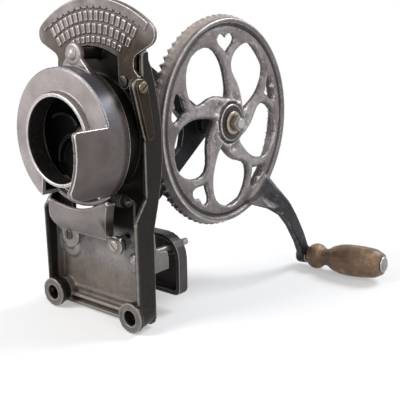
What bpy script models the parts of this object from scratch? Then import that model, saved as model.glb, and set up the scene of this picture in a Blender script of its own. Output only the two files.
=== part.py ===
"""Hand-cranked corn sheller that clamps on the edge of a box or a board.

Metres, +Z up.  +X is the crank side, the ear goes in along +Y at the throat,
and the origin is the middle of the flat back of the lower plate.
"""
import math

import bmesh
import bpy
from mathutils import Matrix, Vector

MM = 0.001

# Clearances and overruns
GAP = 0.3 * MM
BOLT_CLEARANCE = 0.35 * MM
OVERRUN = 2.0 * MM
WELD = 0.01 * MM
SEAT = 0.5 * MM

# Frame: lower plate, side walls and bosses
FRAME_HALF_WIDTH = 70.0 * MM
PLATE_THICKNESS = 6.0 * MM
PLATE_BOTTOM = -46.0 * MM
PLATE_TOP = 247.0 * MM
WALL_THICKNESS = 4.5 * MM
FLANGE_DEPTH = 19.0 * MM
FLANGE_TOP = 70.0 * MM
WALL_FRONT_RISE = 92.0 * MM
WALL_LIP = 3.0 * MM
LEFT_WALL_TOP = 190.0 * MM
RIGHT_WALL_TOP = 234.0 * MM
PLATE_TOP_LEFT_INSET = 15.0 * MM
PLATE_TOP_RIGHT_INSET = 18.0 * MM
PLATE_SHOULDER_DROP = 8.0 * MM
WALL_BULGE = 17.5 * MM
WALL_BULGE_SPAN = 92.0 * MM
LEDGE_DEPTH = 8.0 * MM
LEDGE_HEIGHT = 4.0 * MM
CORNER_RADIUS = 7.0 * MM
BOSS_INSET = 10.0 * MM
BOSS_Z = -31.5 * MM
BOSS_RADIUS = 16.0 * MM
BOSS_ROOT_RADIUS = 12.0 * MM
BOSS_FRONT = -30.0 * MM
BOSS_HOLE_RADIUS = 8.5 * MM
KERNEL_WINDOW_LEFT = -46.0 * MM
KERNEL_WINDOW_RIGHT = -12.0 * MM
KERNEL_WINDOW_BOTTOM = 50.0 * MM
KERNEL_WINDOW_HEIGHT = 22.0 * MM
SHELF_DEPTH = 27.0 * MM
SHELF_WIDTH = 9.0 * MM
SHELF_BOTTOM = 7.5 * MM
SHELF_HEIGHT = 22.0 * MM
SHELF_RISER_DEPTH = 6.0 * MM
SHELF_RISER_TOP = 52.0 * MM
SHELF_NOSE_SHARE = 0.9
SHELF_ROOT_SHARE = 1.15

# Drum axis: housing ring, bearing, disc and throat turn about it
AXIS_Z = 150.0 * MM
RING_RADIUS = 61.5 * MM
RING_WALL = 4.0 * MM
RING_DEPTH = 23.0 * MM
BEARING_RADIUS = 15.0 * MM
BEARING_FRONT = 6.0 * MM
BEARING_BACK = 6.0 * MM
SHAFT_RADIUS = 7.0 * MM
SHAFT_END_RADIUS = 5.0 * MM
SHAFT_HEAD_HEIGHT = 3.0 * MM
DROP_FROM_DEGREES = -128.0
DROP_TO_DEGREES = -49.0
SLICE_RADIUS = 84.0 * MM

# Throat: drum, collar and hood
DRUM_RADIUS = 70.8 * MM
DRUM_DEPTH = 25.5 * MM
DRUM_WALL = 4.5 * MM
FACE_THICKNESS = 5.0 * MM
DRUM_EDGE = 1.5 * MM
BACK_RIM_THICKNESS = 4.0 * MM
BACK_RIM_INNER_RADIUS = 60.3 * MM
MOUTH_RADIUS = 43.0 * MM
COLLAR_WALL = 3.5 * MM
COLLAR_FLARE = 2.2 * MM
COLLAR_PROUD = 7.0 * MM
COLLAR_DEPTH = 14.8 * MM
HOOD_LENGTH = 41.5 * MM
HOOD_TOP = 18.2 * MM
HOOD_FOOT = -51.0 * MM
HOOD_CORNER = 5.0 * MM
HOOD_SWEEP_HEIGHT = 13.0 * MM
FACE_CUT_FROM_DEGREES = -117.0
FACE_CUT_TO_DEGREES = 10.0
FACE_CUT_APEX = 24.7 * MM
# Each pair: share of the hood's length, share of its sweep's height
HOOD_SWEEP_SHARES = ((0.25, 0.0), (0.65, 0.22), (0.88, 0.55))

# Throat's pivot above the drum
PIVOT_X = 8.0 * MM
PIVOT_RISE = 82.4 * MM
PIVOT_LUG_RADIUS = 10.5 * MM
PIVOT_LUG_FOOT_HALF_WIDTH = 24.0 * MM
PIVOT_LUG_THICKNESS = 5.7 * MM
PIVOT_LUG_BACK_STEP = 5.0 * MM
PIVOT_LUG_ROUND_DEGREES = 20.0
PIVOT_PILLAR_RADIUS = 6.0 * MM
PIVOT_BOLT_RADIUS = 3.5 * MM
PIVOT_HEAD_RADIUS = 6.6 * MM
PIVOT_HEAD_HEIGHT = 4.2 * MM
PIVOT_NUT_ACROSS = 11.0 * MM
PIVOT_NUT_HEIGHT = 5.5 * MM
# Each pair: share of a domed head's radius, share of its height
DOME_SHARES = ((1.0, 0.3), (0.85, 0.7), (0.5, 0.94))

# Throat's spring
SPRING_POST_X = 23.0 * MM
SPRING_DROP = 61.5 * MM
SPRING_Y = -20.0 * MM
SPRING_POST_RADIUS = 2.4 * MM
SPRING_ANCHOR_INSET = 13.0 * MM
SPRING_COIL_RADIUS = 7.0 * MM
SPRING_WIRE_RADIUS = 0.85 * MM
SPRING_TURNS = 8
SPRING_POINTS_PER_TURN = 9
SPRING_LEAD = 2.8 * MM
SPRING_LOOP_DEGREES = 270.0
SPRING_LOOP_FROM_DEGREES = 30.0
ANCHOR_WIRE_RADIUS = 2.2 * MM
ANCHOR_DROP = 30.0 * MM
ANCHOR_Y = -13.0 * MM
ANCHOR_PROUD = 4.0 * MM
ANCHOR_BEND = 3.3 * MM

# Apron below the throat
APRON_LIP_RADIUS = 72.5 * MM
APRON_LIP_FROM_DEGREES = -119.0
APRON_LIP_TO_DEGREES = -52.5
APRON_FRONT = -46.0 * MM
APRON_WALL = 3.6 * MM
APRON_FOOT_Y = -19.0 * MM
APRON_FOOT_Z = 46.0 * MM
APRON_FOOT_LEFT = -48.0 * MM
APRON_FOOT_RIGHT = 46.0 * MM
APRON_FACE_RIGHT = 15.0 * MM
APRON_FOOT_EDGE = 1.0 * MM
APRON_LOBE_Z = 40.0 * MM
APRON_LOBES = (("left", -33.0 * MM, 13.0 * MM), ("right", 36.0 * MM, 8.5 * MM))
APRON_LOBE_THICKNESS = 5.0 * MM
APRON_PILLAR_RADIUS = 8.0 * MM
APRON_SCREW_RADIUS = 2.8 * MM
APRON_SCREW_HEAD_RADIUS = 5.6 * MM
APRON_SCREW_HEAD_HEIGHT = 2.0 * MM
APRON_SCREW_LENGTH = 14.0 * MM
APRON_COLUMNS = 14
APRON_ROWS = 6

# Crest
CREST_THICKNESS = 4.0 * MM
CREST_BORDER_HEIGHT = 1.6 * MM
CREST_BORDER_WIDTH = 9.0 * MM
CREST_BORDER_EDGE = 1.0 * MM
CREST_BORDER_END_DEGREES = 1.0
CREST_TOP_RADIUS = 129.5 * MM
CREST_TOP_RISE = 136.3 * MM
CREST_CORNER_X = 71.3 * MM
CREST_CORNER_RADIUS = 11.7 * MM
CREST_SHOULDER_DEGREES = 24.0
CREST_INNER_RADIUS = 89.5 * MM
CREST_NECK_X = 54.7 * MM
CREST_NECK_RISE = 74.5 * MM
CREST_NECK_RADIUS = 8.0 * MM
CREST_BOSS_RISE = 56.0 * MM
CREST_LEG_LEFT_INSET = 28.5 * MM
CREST_LEG_RIGHT_INSET = 21.0 * MM
CREST_LEG_HALF_WIDTH = 7.5 * MM
CREST_ARM_HEIGHT = 8.0 * MM
CREST_ARM_TIP = 6.0 * MM
CREST_SCREW_RADIUS = 2.4 * MM
CREST_SCREW_HEAD_RADIUS = 5.6 * MM
CREST_SCREW_HEAD_HEIGHT = 2.6 * MM
CREST_SCREW_LENGTH = 9.5 * MM
STRAP_THICKNESS = 3.5 * MM
STRAP_BOSS_Y = -14.5 * MM
STRAP_BOSS_RISE = 51.5 * MM
STRAP_BOSS_RADIUS = 7.4 * MM
STRAP_FOOT_Y = -4.5 * MM
STRAP_FOOT_RISE = 5.4 * MM
STRAP_FOOT_RADIUS = 5.3 * MM
STRAP_SEAT_EDGE = 0.9 * MM
STRAP_SEAT_PROUD = 0.8 * MM
SLOT_WIDTH = 1.3 * MM
SLOT_DEPTH = 1.2 * MM
SLOT_DEGREES = -35.0
APRON_SLOT_DEGREES = 55.0
SCREW_EDGE_SHARE = 0.6
SCREW_CROWN_SHARE = 0.75

# Shelling disc
DISC_RADIUS = 55.0 * MM
DISC_THICKNESS = 6.0 * MM
DISC_BACK_GAP = 6.0 * MM
DISC_HUB_RADIUS = 14.0 * MM
DISC_RIBS = 6
DISC_RIB_HEIGHT = 5.0 * MM
DISC_RIB_HALF_WIDTH = 2.2 * MM
DISC_RIB_INNER_RADIUS = 12.0 * MM
DISC_RIB_OUTER_RADIUS = 46.0 * MM
DISC_RIB_SWEEP_DEGREES = 38.0
DISC_RIB_SWEEP_POWER = 1.5
DISC_NOSE_RADIUS = 10.0 * MM
DISC_NOSE_HEIGHT = 9.0 * MM

# Bevel gears: wheel axis along X, pinion axis along Y, at the same height
WHEEL_TEETH = 75
PINION_TEETH = 30
GEAR_LARGE_RADIUS = 117.0 * MM
GEAR_FACE_WIDTH = 9.0 * MM
TOOTH_ADDENDUM = 2.5 * MM
TOOTH_DEDENDUM = 3.4 * MM
TOOTH_TIP_SHARE = 0.20
TOOTH_ROOT_SHARE = 0.46
GEAR_HUB_LENGTH = 27.0 * MM
GEAR_HUB_RADIUS = 17.0 * MM
SHAFT_NUT_HEIGHT = 6.0 * MM
SHAFT_NUT_ACROSS = 16.0 * MM
WHEEL_AXIS_CLEARANCE = 20.2 * MM
TOOTH_BACKING = 5.2 * MM
RIM_WIDTH = 12.0 * MM
RIM_PROUD = 1.3 * MM
RIM_CHAMFER = 4.0 * MM
RIM_BEAD_WIDTH = 5.0 * MM
RIM_GROOVE_DEPTH = 3.0 * MM
RIM_GROOVE_WIDTH = 4.0 * MM
RIM_WALL = 4.0 * MM
WEB_THICKNESS = 6.0 * MM
WEB_STEP = 1.0 * MM
HUB_RADIUS = 21.0 * MM
HUB_PROUD = 4.0 * MM
HUB_LENGTH = 29.0 * MM
SPOKES = 5
WINDOW_EDGE = 4.0 * MM
WINDOW_ANGLE_DEGREES = 124.0
HEART_ANGLE_DEGREES = 92.5
HEART_INSET = 16.5 * MM
HEART_HALF_WIDTH = 16.0 * MM
HEART_HEIGHT = 22.5 * MM
HEART_POINTS = 16
# Shares of one, two, three and four turns of the cosine, the lift and the whole height of the heart's curve
HEART_SHARES = (13.0, -5.0, -2.0, -1.0, 2.5, 29.0)
# Each pair: share of the window radius, degrees from the window's own direction
WINDOW_OUTLINE_SHARES = (
    (0.29, -27.0), (0.36, -28.0), (0.46, -27.0), (0.54, -26.0), (0.62, -24.5), (0.69, -22.5),
    (0.76, -20.0), (0.83, -17.0), (0.89, -13.0), (0.94, -7.5), (0.975, 0.0), (0.985, 6.5),
    (0.965, 12.5), (0.92, 18.0), (0.86, 23.5), (0.79, 28.5), (0.72, 32.0), (0.65, 33.5),
    (0.58, 31.5), (0.52, 25.5), (0.46, 15.0), (0.40, 4.0), (0.34, -8.0), (0.30, -19.0),
)

# Axle and its bracket
AXLE_RADIUS = 8.0 * MM
AXLE_END_RADIUS = 6.0 * MM
AXLE_WASHER_RADIUS = 13.0 * MM
AXLE_WASHER_THICKNESS = 2.4 * MM
AXLE_NUT_ACROSS = 14.0 * MM
AXLE_NUT_HEIGHT = 7.0 * MM
AXLE_PROUD = 3.0 * MM
AXLE_NUT_DEGREES = 20.0
BRACKET_HUB_LENGTH = 26.7 * MM
BRACKET_WEB_STEP = 8.0 * MM
BRACKET_THICKNESS = 8.0 * MM
BRACKET_HUB_RADIUS = 17.0 * MM
BRACKET_UPPER_ROOT = 98.0 * MM
BRACKET_LOWER_ROOT = -118.0 * MM
BRACKET_UPPER_INNER = 72.0 * MM
BRACKET_LOWER_INNER = -90.0 * MM
BRACKET_CROTCH_REACH = 41.2 * MM
BRACKET_CROTCH_UPPER = 6.0 * MM
BRACKET_CROTCH_LOWER = -26.0 * MM
BRACKET_CROTCH_ROUND = 8.0 * MM
BRACKET_HUB_DEGREES = (-60.0, 120.0)
BRACKET_FOOT_THICKNESS = 6.0 * MM
BRACKET_FOOT_WIDTH = 26.0 * MM
BRACKET_FOOT_HEIGHT = 24.0 * MM
BRACKET_BOLT_RADIUS = 3.2 * MM
BRACKET_BOLT_HEAD_ACROSS = 10.0 * MM
BRACKET_BOLT_HEAD_HEIGHT = 4.5 * MM
BRACKET_BOLT_INSET = 10.0 * MM

# Crank arm, cast with the wheel, and its grip
CRANK_RADIUS = 220.0 * MM
CRANK_ANGLE_DEGREES = -56.6
CRANK_END_STEP = 30.0 * MM
CRANK_BOSS_RADIUS = 10.8 * MM
CRANK_BOSS_HALF_LENGTH = 7.0 * MM
# Each pair: share of the way from the rim's edge to the grip's centre, share of the step out along the axle
ARM_PATH_SHARES = ((-0.15, -0.13), (-0.06, 0.17), (0.03, 0.57), (0.16, 0.9), (0.36, 1.03), (0.66, 1.07), (0.96, 1.0))
ARM_HALF_WIDTHS = (25.0 * MM, 21.0 * MM, 15.0 * MM, 11.5 * MM, 10.0 * MM, 9.5 * MM, 9.5 * MM)
ARM_HALF_THICKNESSES = (3.6 * MM, 4.5 * MM, 4.8 * MM, 4.8 * MM, 4.6 * MM, 4.4 * MM, 4.4 * MM)
# Each pair: share of the arm's half width, share of its half thickness
ARM_SECTION_SHARES = ((-1.0, -0.6), (-0.8, -1.0), (0.8, -1.0), (1.0, -0.6), (1.0, 0.6), (0.8, 1.0), (-0.8, 1.0), (-1.0, 0.6))
GRIP_TILT_DEGREES = 4.5
GRIP_BORE_RADIUS = 4.4 * MM
GRIP_BOLT_RADIUS = 4.0 * MM
GRIP_HEAD_RADIUS = 8.3 * MM
GRIP_HEAD_HEIGHT = 6.5 * MM
GRIP_WASHER_RADIUS = 9.5 * MM
GRIP_WASHER_THICKNESS = 2.0 * MM
GRIP_PROFILE = (
    (10.5 * MM, 0.0 * MM), (14.4 * MM, 3.0 * MM), (16.4 * MM, 9.0 * MM), (15.2 * MM, 15.0 * MM),
    (11.6 * MM, 19.5 * MM), (10.2 * MM, 24.0 * MM), (12.0 * MM, 29.0 * MM), (15.4 * MM, 34.0 * MM),
    (18.6 * MM, 45.0 * MM), (19.6 * MM, 58.0 * MM), (19.2 * MM, 74.0 * MM), (17.6 * MM, 90.0 * MM),
    (13.2 * MM, 98.5 * MM),
)

# Clamp behind the board
CLAMP_INSET = 20.0 * MM
CLAMP_Z = 23.5 * MM
CLAMP_BOLT_RADIUS = 4.0 * MM
CLAMP_BOLT_LENGTH = 82.0 * MM
CLAMP_HEAD_RADIUS = 7.0 * MM
CLAMP_HEAD_HEIGHT = 4.0 * MM
CLAMP_PAD_RADIUS = 14.0 * MM
CLAMP_PAD_HEIGHT = 3.0 * MM
CLAMP_NUT_ACROSS = 13.0 * MM
CLAMP_NUT_HEIGHT = 6.5 * MM
CLAMP_NUT_DEGREES = 30.0
JAW_FRONT = 42.0 * MM
JAW_DEPTH = 14.0 * MM
JAW_WALL = 5.0 * MM
JAW_INSET = 4.0 * MM
JAW_TOP = 38.0 * MM
JAW_BOTTOM = -30.0 * MM
JAW_CORNER = 26.0 * MM
JAW_BOSS_RADIUS = 9.0 * MM
JAW_BOSS_FRONT_STEP = 3.0 * MM

# Roundness
FINE_STEPS = 48
MEDIUM_STEPS = 24
SMALL_STEPS = 12
ARC_STEPS = 6
SMOOTH_DEGREES = 35.0
SQUARE_SIDES = 4
SQUARE_DEGREES = 45.0

# Places worked out from the sizes above
PLATE_FRONT = -PLATE_THICKNESS
RING_FRONT = PLATE_FRONT - RING_DEPTH
DRUM_BACK = RING_FRONT - GAP
DRUM_FRONT = DRUM_BACK - DRUM_DEPTH
PIVOT_Z = AXIS_Z + PIVOT_RISE
LUG_BACK = DRUM_BACK - PIVOT_LUG_BACK_STEP
LUG_FRONT = LUG_BACK - PIVOT_LUG_THICKNESS
DISC_BACK = PLATE_FRONT - BEARING_FRONT - GAP
DISC_FRONT = DISC_BACK - DISC_THICKNESS
PLATE_TOP_LEFT = PLATE_TOP_LEFT_INSET - FRAME_HALF_WIDTH
PLATE_TOP_RIGHT = FRAME_HALF_WIDTH - PLATE_TOP_RIGHT_INSET
BOSS_X = FRAME_HALF_WIDTH - BOSS_INSET
CLAMP_X = FRAME_HALF_WIDTH - CLAMP_INSET
JAW_HALF_WIDTH = FRAME_HALF_WIDTH - JAW_INSET
CREST_LEG_X = {"left": CREST_LEG_LEFT_INSET - FRAME_HALF_WIDTH, "right": FRAME_HALF_WIDTH - CREST_LEG_RIGHT_INSET}
STRAP_BACK_X = FRAME_HALF_WIDTH + STRAP_SEAT_PROUD + GAP
SPRING_ANCHOR_X = FRAME_HALF_WIDTH - SPRING_ANCHOR_INSET
CONE_RATIO = WHEEL_TEETH / PINION_TEETH
GEAR_SMALL_RADIUS = GEAR_LARGE_RADIUS - GEAR_FACE_WIDTH
WHEEL_AXIS_Y = GEAR_LARGE_RADIUS + WHEEL_AXIS_CLEARANCE
RIM_BACK_X = GEAR_LARGE_RADIUS / CONE_RATIO + TOOTH_BACKING
RIM_FRONT_X = RIM_BACK_X + RIM_WIDTH
RIM_OUTER_RADIUS = GEAR_LARGE_RADIUS + RIM_PROUD
RIM_FRONT_RADIUS = RIM_OUTER_RADIUS - RIM_CHAMFER
RIM_INNER_RADIUS = GEAR_SMALL_RADIUS - RIM_WALL
WEB_FRONT_X = RIM_FRONT_X - WEB_STEP
WINDOW_RADIUS = RIM_INNER_RADIUS - WINDOW_EDGE
HEART_CENTRE_RADIUS = RIM_INNER_RADIUS - HEART_INSET
HUB_FRONT_X = RIM_FRONT_X + HUB_PROUD
HUB_BACK_X = HUB_FRONT_X - HUB_LENGTH
BRACKET_HUB_BACK_X = HUB_BACK_X - GAP - BRACKET_HUB_LENGTH
BRACKET_BACK_X = BRACKET_HUB_BACK_X + BRACKET_WEB_STEP
BRACKET_CROTCH_Y = WHEEL_AXIS_Y - BRACKET_CROTCH_REACH
CRANK_ANGLE = math.radians(CRANK_ANGLE_DEGREES)
CRANK_END_X = RIM_FRONT_X + CRANK_END_STEP

SHELLER = bpy.data.collections.new("corn_sheller")
CUTTERS = bpy.data.collections.new("corn_sheller_cutters")


def clear_scene():
    """Remove the objects that the scene starts with and add the two collections."""
    for item in list(bpy.data.objects):
        bpy.data.objects.remove(item, do_unlink=True)
    for collection in (SHELLER, CUTTERS):
        bpy.context.scene.collection.children.link(collection)


def metal(name, colour, roughness, metallic):
    """A plain material with one colour."""
    material = bpy.data.materials.new(name)
    material.use_nodes = True
    shader = material.node_tree.nodes["Principled BSDF"]
    shader.inputs["Base Color"].default_value = (*colour, 1.0)
    shader.inputs["Roughness"].default_value = roughness
    shader.inputs["Metallic"].default_value = metallic
    return material


def add_object(name, mesh, material=None, parent=None):
    """An object of the sheller, or a cutter where it has no material."""
    item = bpy.data.objects.new(name, mesh)
    if material is None:
        CUTTERS.objects.link(item)
        item.hide_render = True
        item.display_type = "WIRE"
    else:
        SHELLER.objects.link(item)
        mesh.materials.append(material)
    item.parent = parent
    return item


def pivot_empty(name, place, parent=None, rotation=(0.0, 0.0, 0.0)):
    """An empty that stands on the axis of what turns about it."""
    item = bpy.data.objects.new(name, None)
    SHELLER.objects.link(item)
    item.location = place
    item.rotation_euler = rotation
    item.parent = parent
    return item


def axis_turn(axis):
    """The turn that takes local +Z to a world axis."""
    if axis == "X":
        return Matrix.Rotation(math.pi / 2, 4, "Y")
    if axis == "Y":
        return Matrix.Rotation(-math.pi / 2, 4, "X")
    return Matrix.Identity(4)


def mesh_from(shape, name):
    """Close a bmesh into a mesh whose faces point out."""
    bmesh.ops.recalc_face_normals(shape, faces=shape.faces)
    mesh = bpy.data.meshes.new(name)
    shape.to_mesh(mesh)
    shape.free()
    return mesh


def rod(name, axis, start, length, radius, material=None, parent=None, sides=MEDIUM_STEPS, end_radius=None):
    """A cylinder, or a cone, that runs from a point along +axis."""
    shape = bmesh.new()
    far_radius = radius if end_radius is None else end_radius
    bmesh.ops.create_cone(shape, cap_ends=True, segments=sides, radius1=radius, radius2=far_radius, depth=length)
    shift = Matrix.Translation(Vector((0.0, 0.0, length / 2)))
    bmesh.ops.transform(shape, matrix=Matrix.Translation(Vector(start)) @ axis_turn(axis) @ shift, verts=shape.verts)
    return add_object(name, mesh_from(shape, name), material, parent)


def block(name, low, high, material=None, parent=None):
    """A box between two corners."""
    shape = bmesh.new()
    bmesh.ops.create_cube(shape, size=1.0)
    low = Vector(low)
    high = Vector(high)
    size = Matrix.Diagonal((*(high - low), 1.0))
    bmesh.ops.transform(shape, matrix=Matrix.Translation((low + high) / 2) @ size, verts=shape.verts)
    return add_object(name, mesh_from(shape, name), material, parent)


def plate(name, axis, outlines, low, high, material=None, parent=None):
    """A flat piece between two planes: the first outline is its edge, the others are holes.

    Across X an outline is (y, z), across Y it is (x, z).
    """
    curve = bpy.data.curves.new(name, "CURVE")
    curve.dimensions = "2D"
    curve.fill_mode = "BOTH"
    curve.extrude = (high - low) / 2
    for outline in outlines:
        spline = curve.splines.new("POLY")
        spline.points.add(len(outline) - 1)
        for point, (first, second) in zip(spline.points, outline):
            point.co = (first, second, 0.0, 1.0)
        spline.use_cyclic_u = True
    guide = bpy.data.objects.new(name, curve)
    CUTTERS.objects.link(guide)
    bpy.context.view_layer.update()
    shape = bmesh.new()
    shape.from_mesh(bpy.data.meshes.new_from_object(guide.evaluated_get(bpy.context.evaluated_depsgraph_get())))
    bpy.data.objects.remove(guide, do_unlink=True)
    bmesh.ops.remove_doubles(shape, verts=shape.verts, dist=WELD)
    middle = (low + high) / 2
    if axis == "X":
        turn = Matrix(((0, 0, 1, middle), (1, 0, 0, 0), (0, 1, 0, 0), (0, 0, 0, 1)))
    else:
        turn = Matrix(((1, 0, 0, 0), (0, 0, -1, middle), (0, 1, 0, 0), (0, 0, 0, 1)))
    bmesh.ops.transform(shape, matrix=turn, verts=shape.verts)
    return add_object(name, mesh_from(shape, name), material, parent)


def turned(name, axis, centre, profile, material=None, parent=None, steps=FINE_STEPS):
    """A turned piece: the profile's pairs are radius and place along the axis, from its far end back."""
    mesh = bpy.data.meshes.new(name)
    closed = profile[0][0] > 0.0 or profile[-1][0] > 0.0
    edges = [(index, index + 1) for index in range(len(profile) - 1)]
    if closed:
        edges.append((len(profile) - 1, 0))
    mesh.from_pydata([(radius, 0.0, place) for radius, place in profile], edges, [])
    item = add_object(name, mesh, material, parent)
    item.location = centre
    item.rotation_euler = axis_turn(axis).to_euler()
    screw = item.modifiers.new("turn", "SCREW")
    screw.axis = "Z"
    screw.angle = math.tau
    screw.steps = steps
    screw.render_steps = steps
    screw.use_merge_vertices = True
    screw.merge_threshold = WELD
    screw.use_smooth_shade = False
    return item


def loft(name, sections, material=None, parent=None, closed=False):
    """A skin through sections of equal counts, capped at its ends or closed on itself."""
    shape = bmesh.new()
    rings = [[shape.verts.new(point) for point in section] for section in sections]
    count = len(rings[0])
    pairs = list(zip(rings, rings[1:]))
    if closed:
        pairs.append((rings[-1], rings[0]))
    for ring, following in pairs:
        for index in range(count):
            after = (index + 1) % count
            shape.faces.new((ring[index], ring[after], following[after], following[index]))
    if not closed:
        shape.faces.new(rings[0])
        shape.faces.new(rings[-1])
    return add_object(name, mesh_from(shape, name), material, parent)


def wire(name, points, radius, material=None, parent=None, resolution=1):
    """A round wire through points, as a mesh with welded caps."""
    curve = bpy.data.curves.new(name, "CURVE")
    curve.dimensions = "3D"
    curve.bevel_depth = radius
    curve.bevel_resolution = resolution
    curve.use_fill_caps = True
    spline = curve.splines.new("POLY")
    spline.points.add(len(points) - 1)
    for point, place in zip(spline.points, points):
        point.co = (*place, 1.0)
    guide = bpy.data.objects.new(name, curve)
    CUTTERS.objects.link(guide)
    bpy.context.view_layer.update()
    shape = bmesh.new()
    shape.from_mesh(bpy.data.meshes.new_from_object(guide.evaluated_get(bpy.context.evaluated_depsgraph_get())))
    bpy.data.objects.remove(guide, do_unlink=True)
    bmesh.ops.remove_doubles(shape, verts=shape.verts, dist=WELD)
    return add_object(name, mesh_from(shape, name), material, parent)


def combine(target, operation, *operands):
    """Join, cut or keep the overlap with other shapes, in the order given."""
    for operand in operands:
        step = target.modifiers.new(operand.name, "BOOLEAN")
        step.operation = operation
        step.solver = "EXACT"
        step.object = operand
    return target


def arc(centre, radius, start_degrees, end_degrees, steps=ARC_STEPS):
    """Points along an arc of a circle."""
    points = []
    for index in range(steps + 1):
        angle = math.radians(start_degrees + (end_degrees - start_degrees) * index / steps)
        points.append((centre[0] + radius * math.cos(angle), centre[1] + radius * math.sin(angle)))
    return points


def rounded_box(left, right, bottom, top, radius, steps=ARC_STEPS):
    """A rectangle's outline with round corners."""
    points = []
    points += arc((right - radius, bottom + radius), radius, -90.0, 0.0, steps)
    points += arc((right - radius, top - radius), radius, 0.0, 90.0, steps)
    points += arc((left + radius, top - radius), radius, 90.0, 180.0, steps)
    points += arc((left + radius, bottom + radius), radius, 180.0, 270.0, steps)
    return points


def wedge(radius, start_degrees, end_degrees):
    """A pie slice about the drum axis, as an (x, z) outline."""
    return [(0.0, AXIS_Z)] + arc((0.0, AXIS_Z), radius, start_degrees, end_degrees)


def polygon(centre, across, sides, first_degrees):
    """A regular outline by its width across flats."""
    radius = across / 2 / math.cos(math.pi / sides)
    return arc(centre, radius, first_degrees, first_degrees + 360.0 * (sides - 1) / sides, sides - 1)


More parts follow.
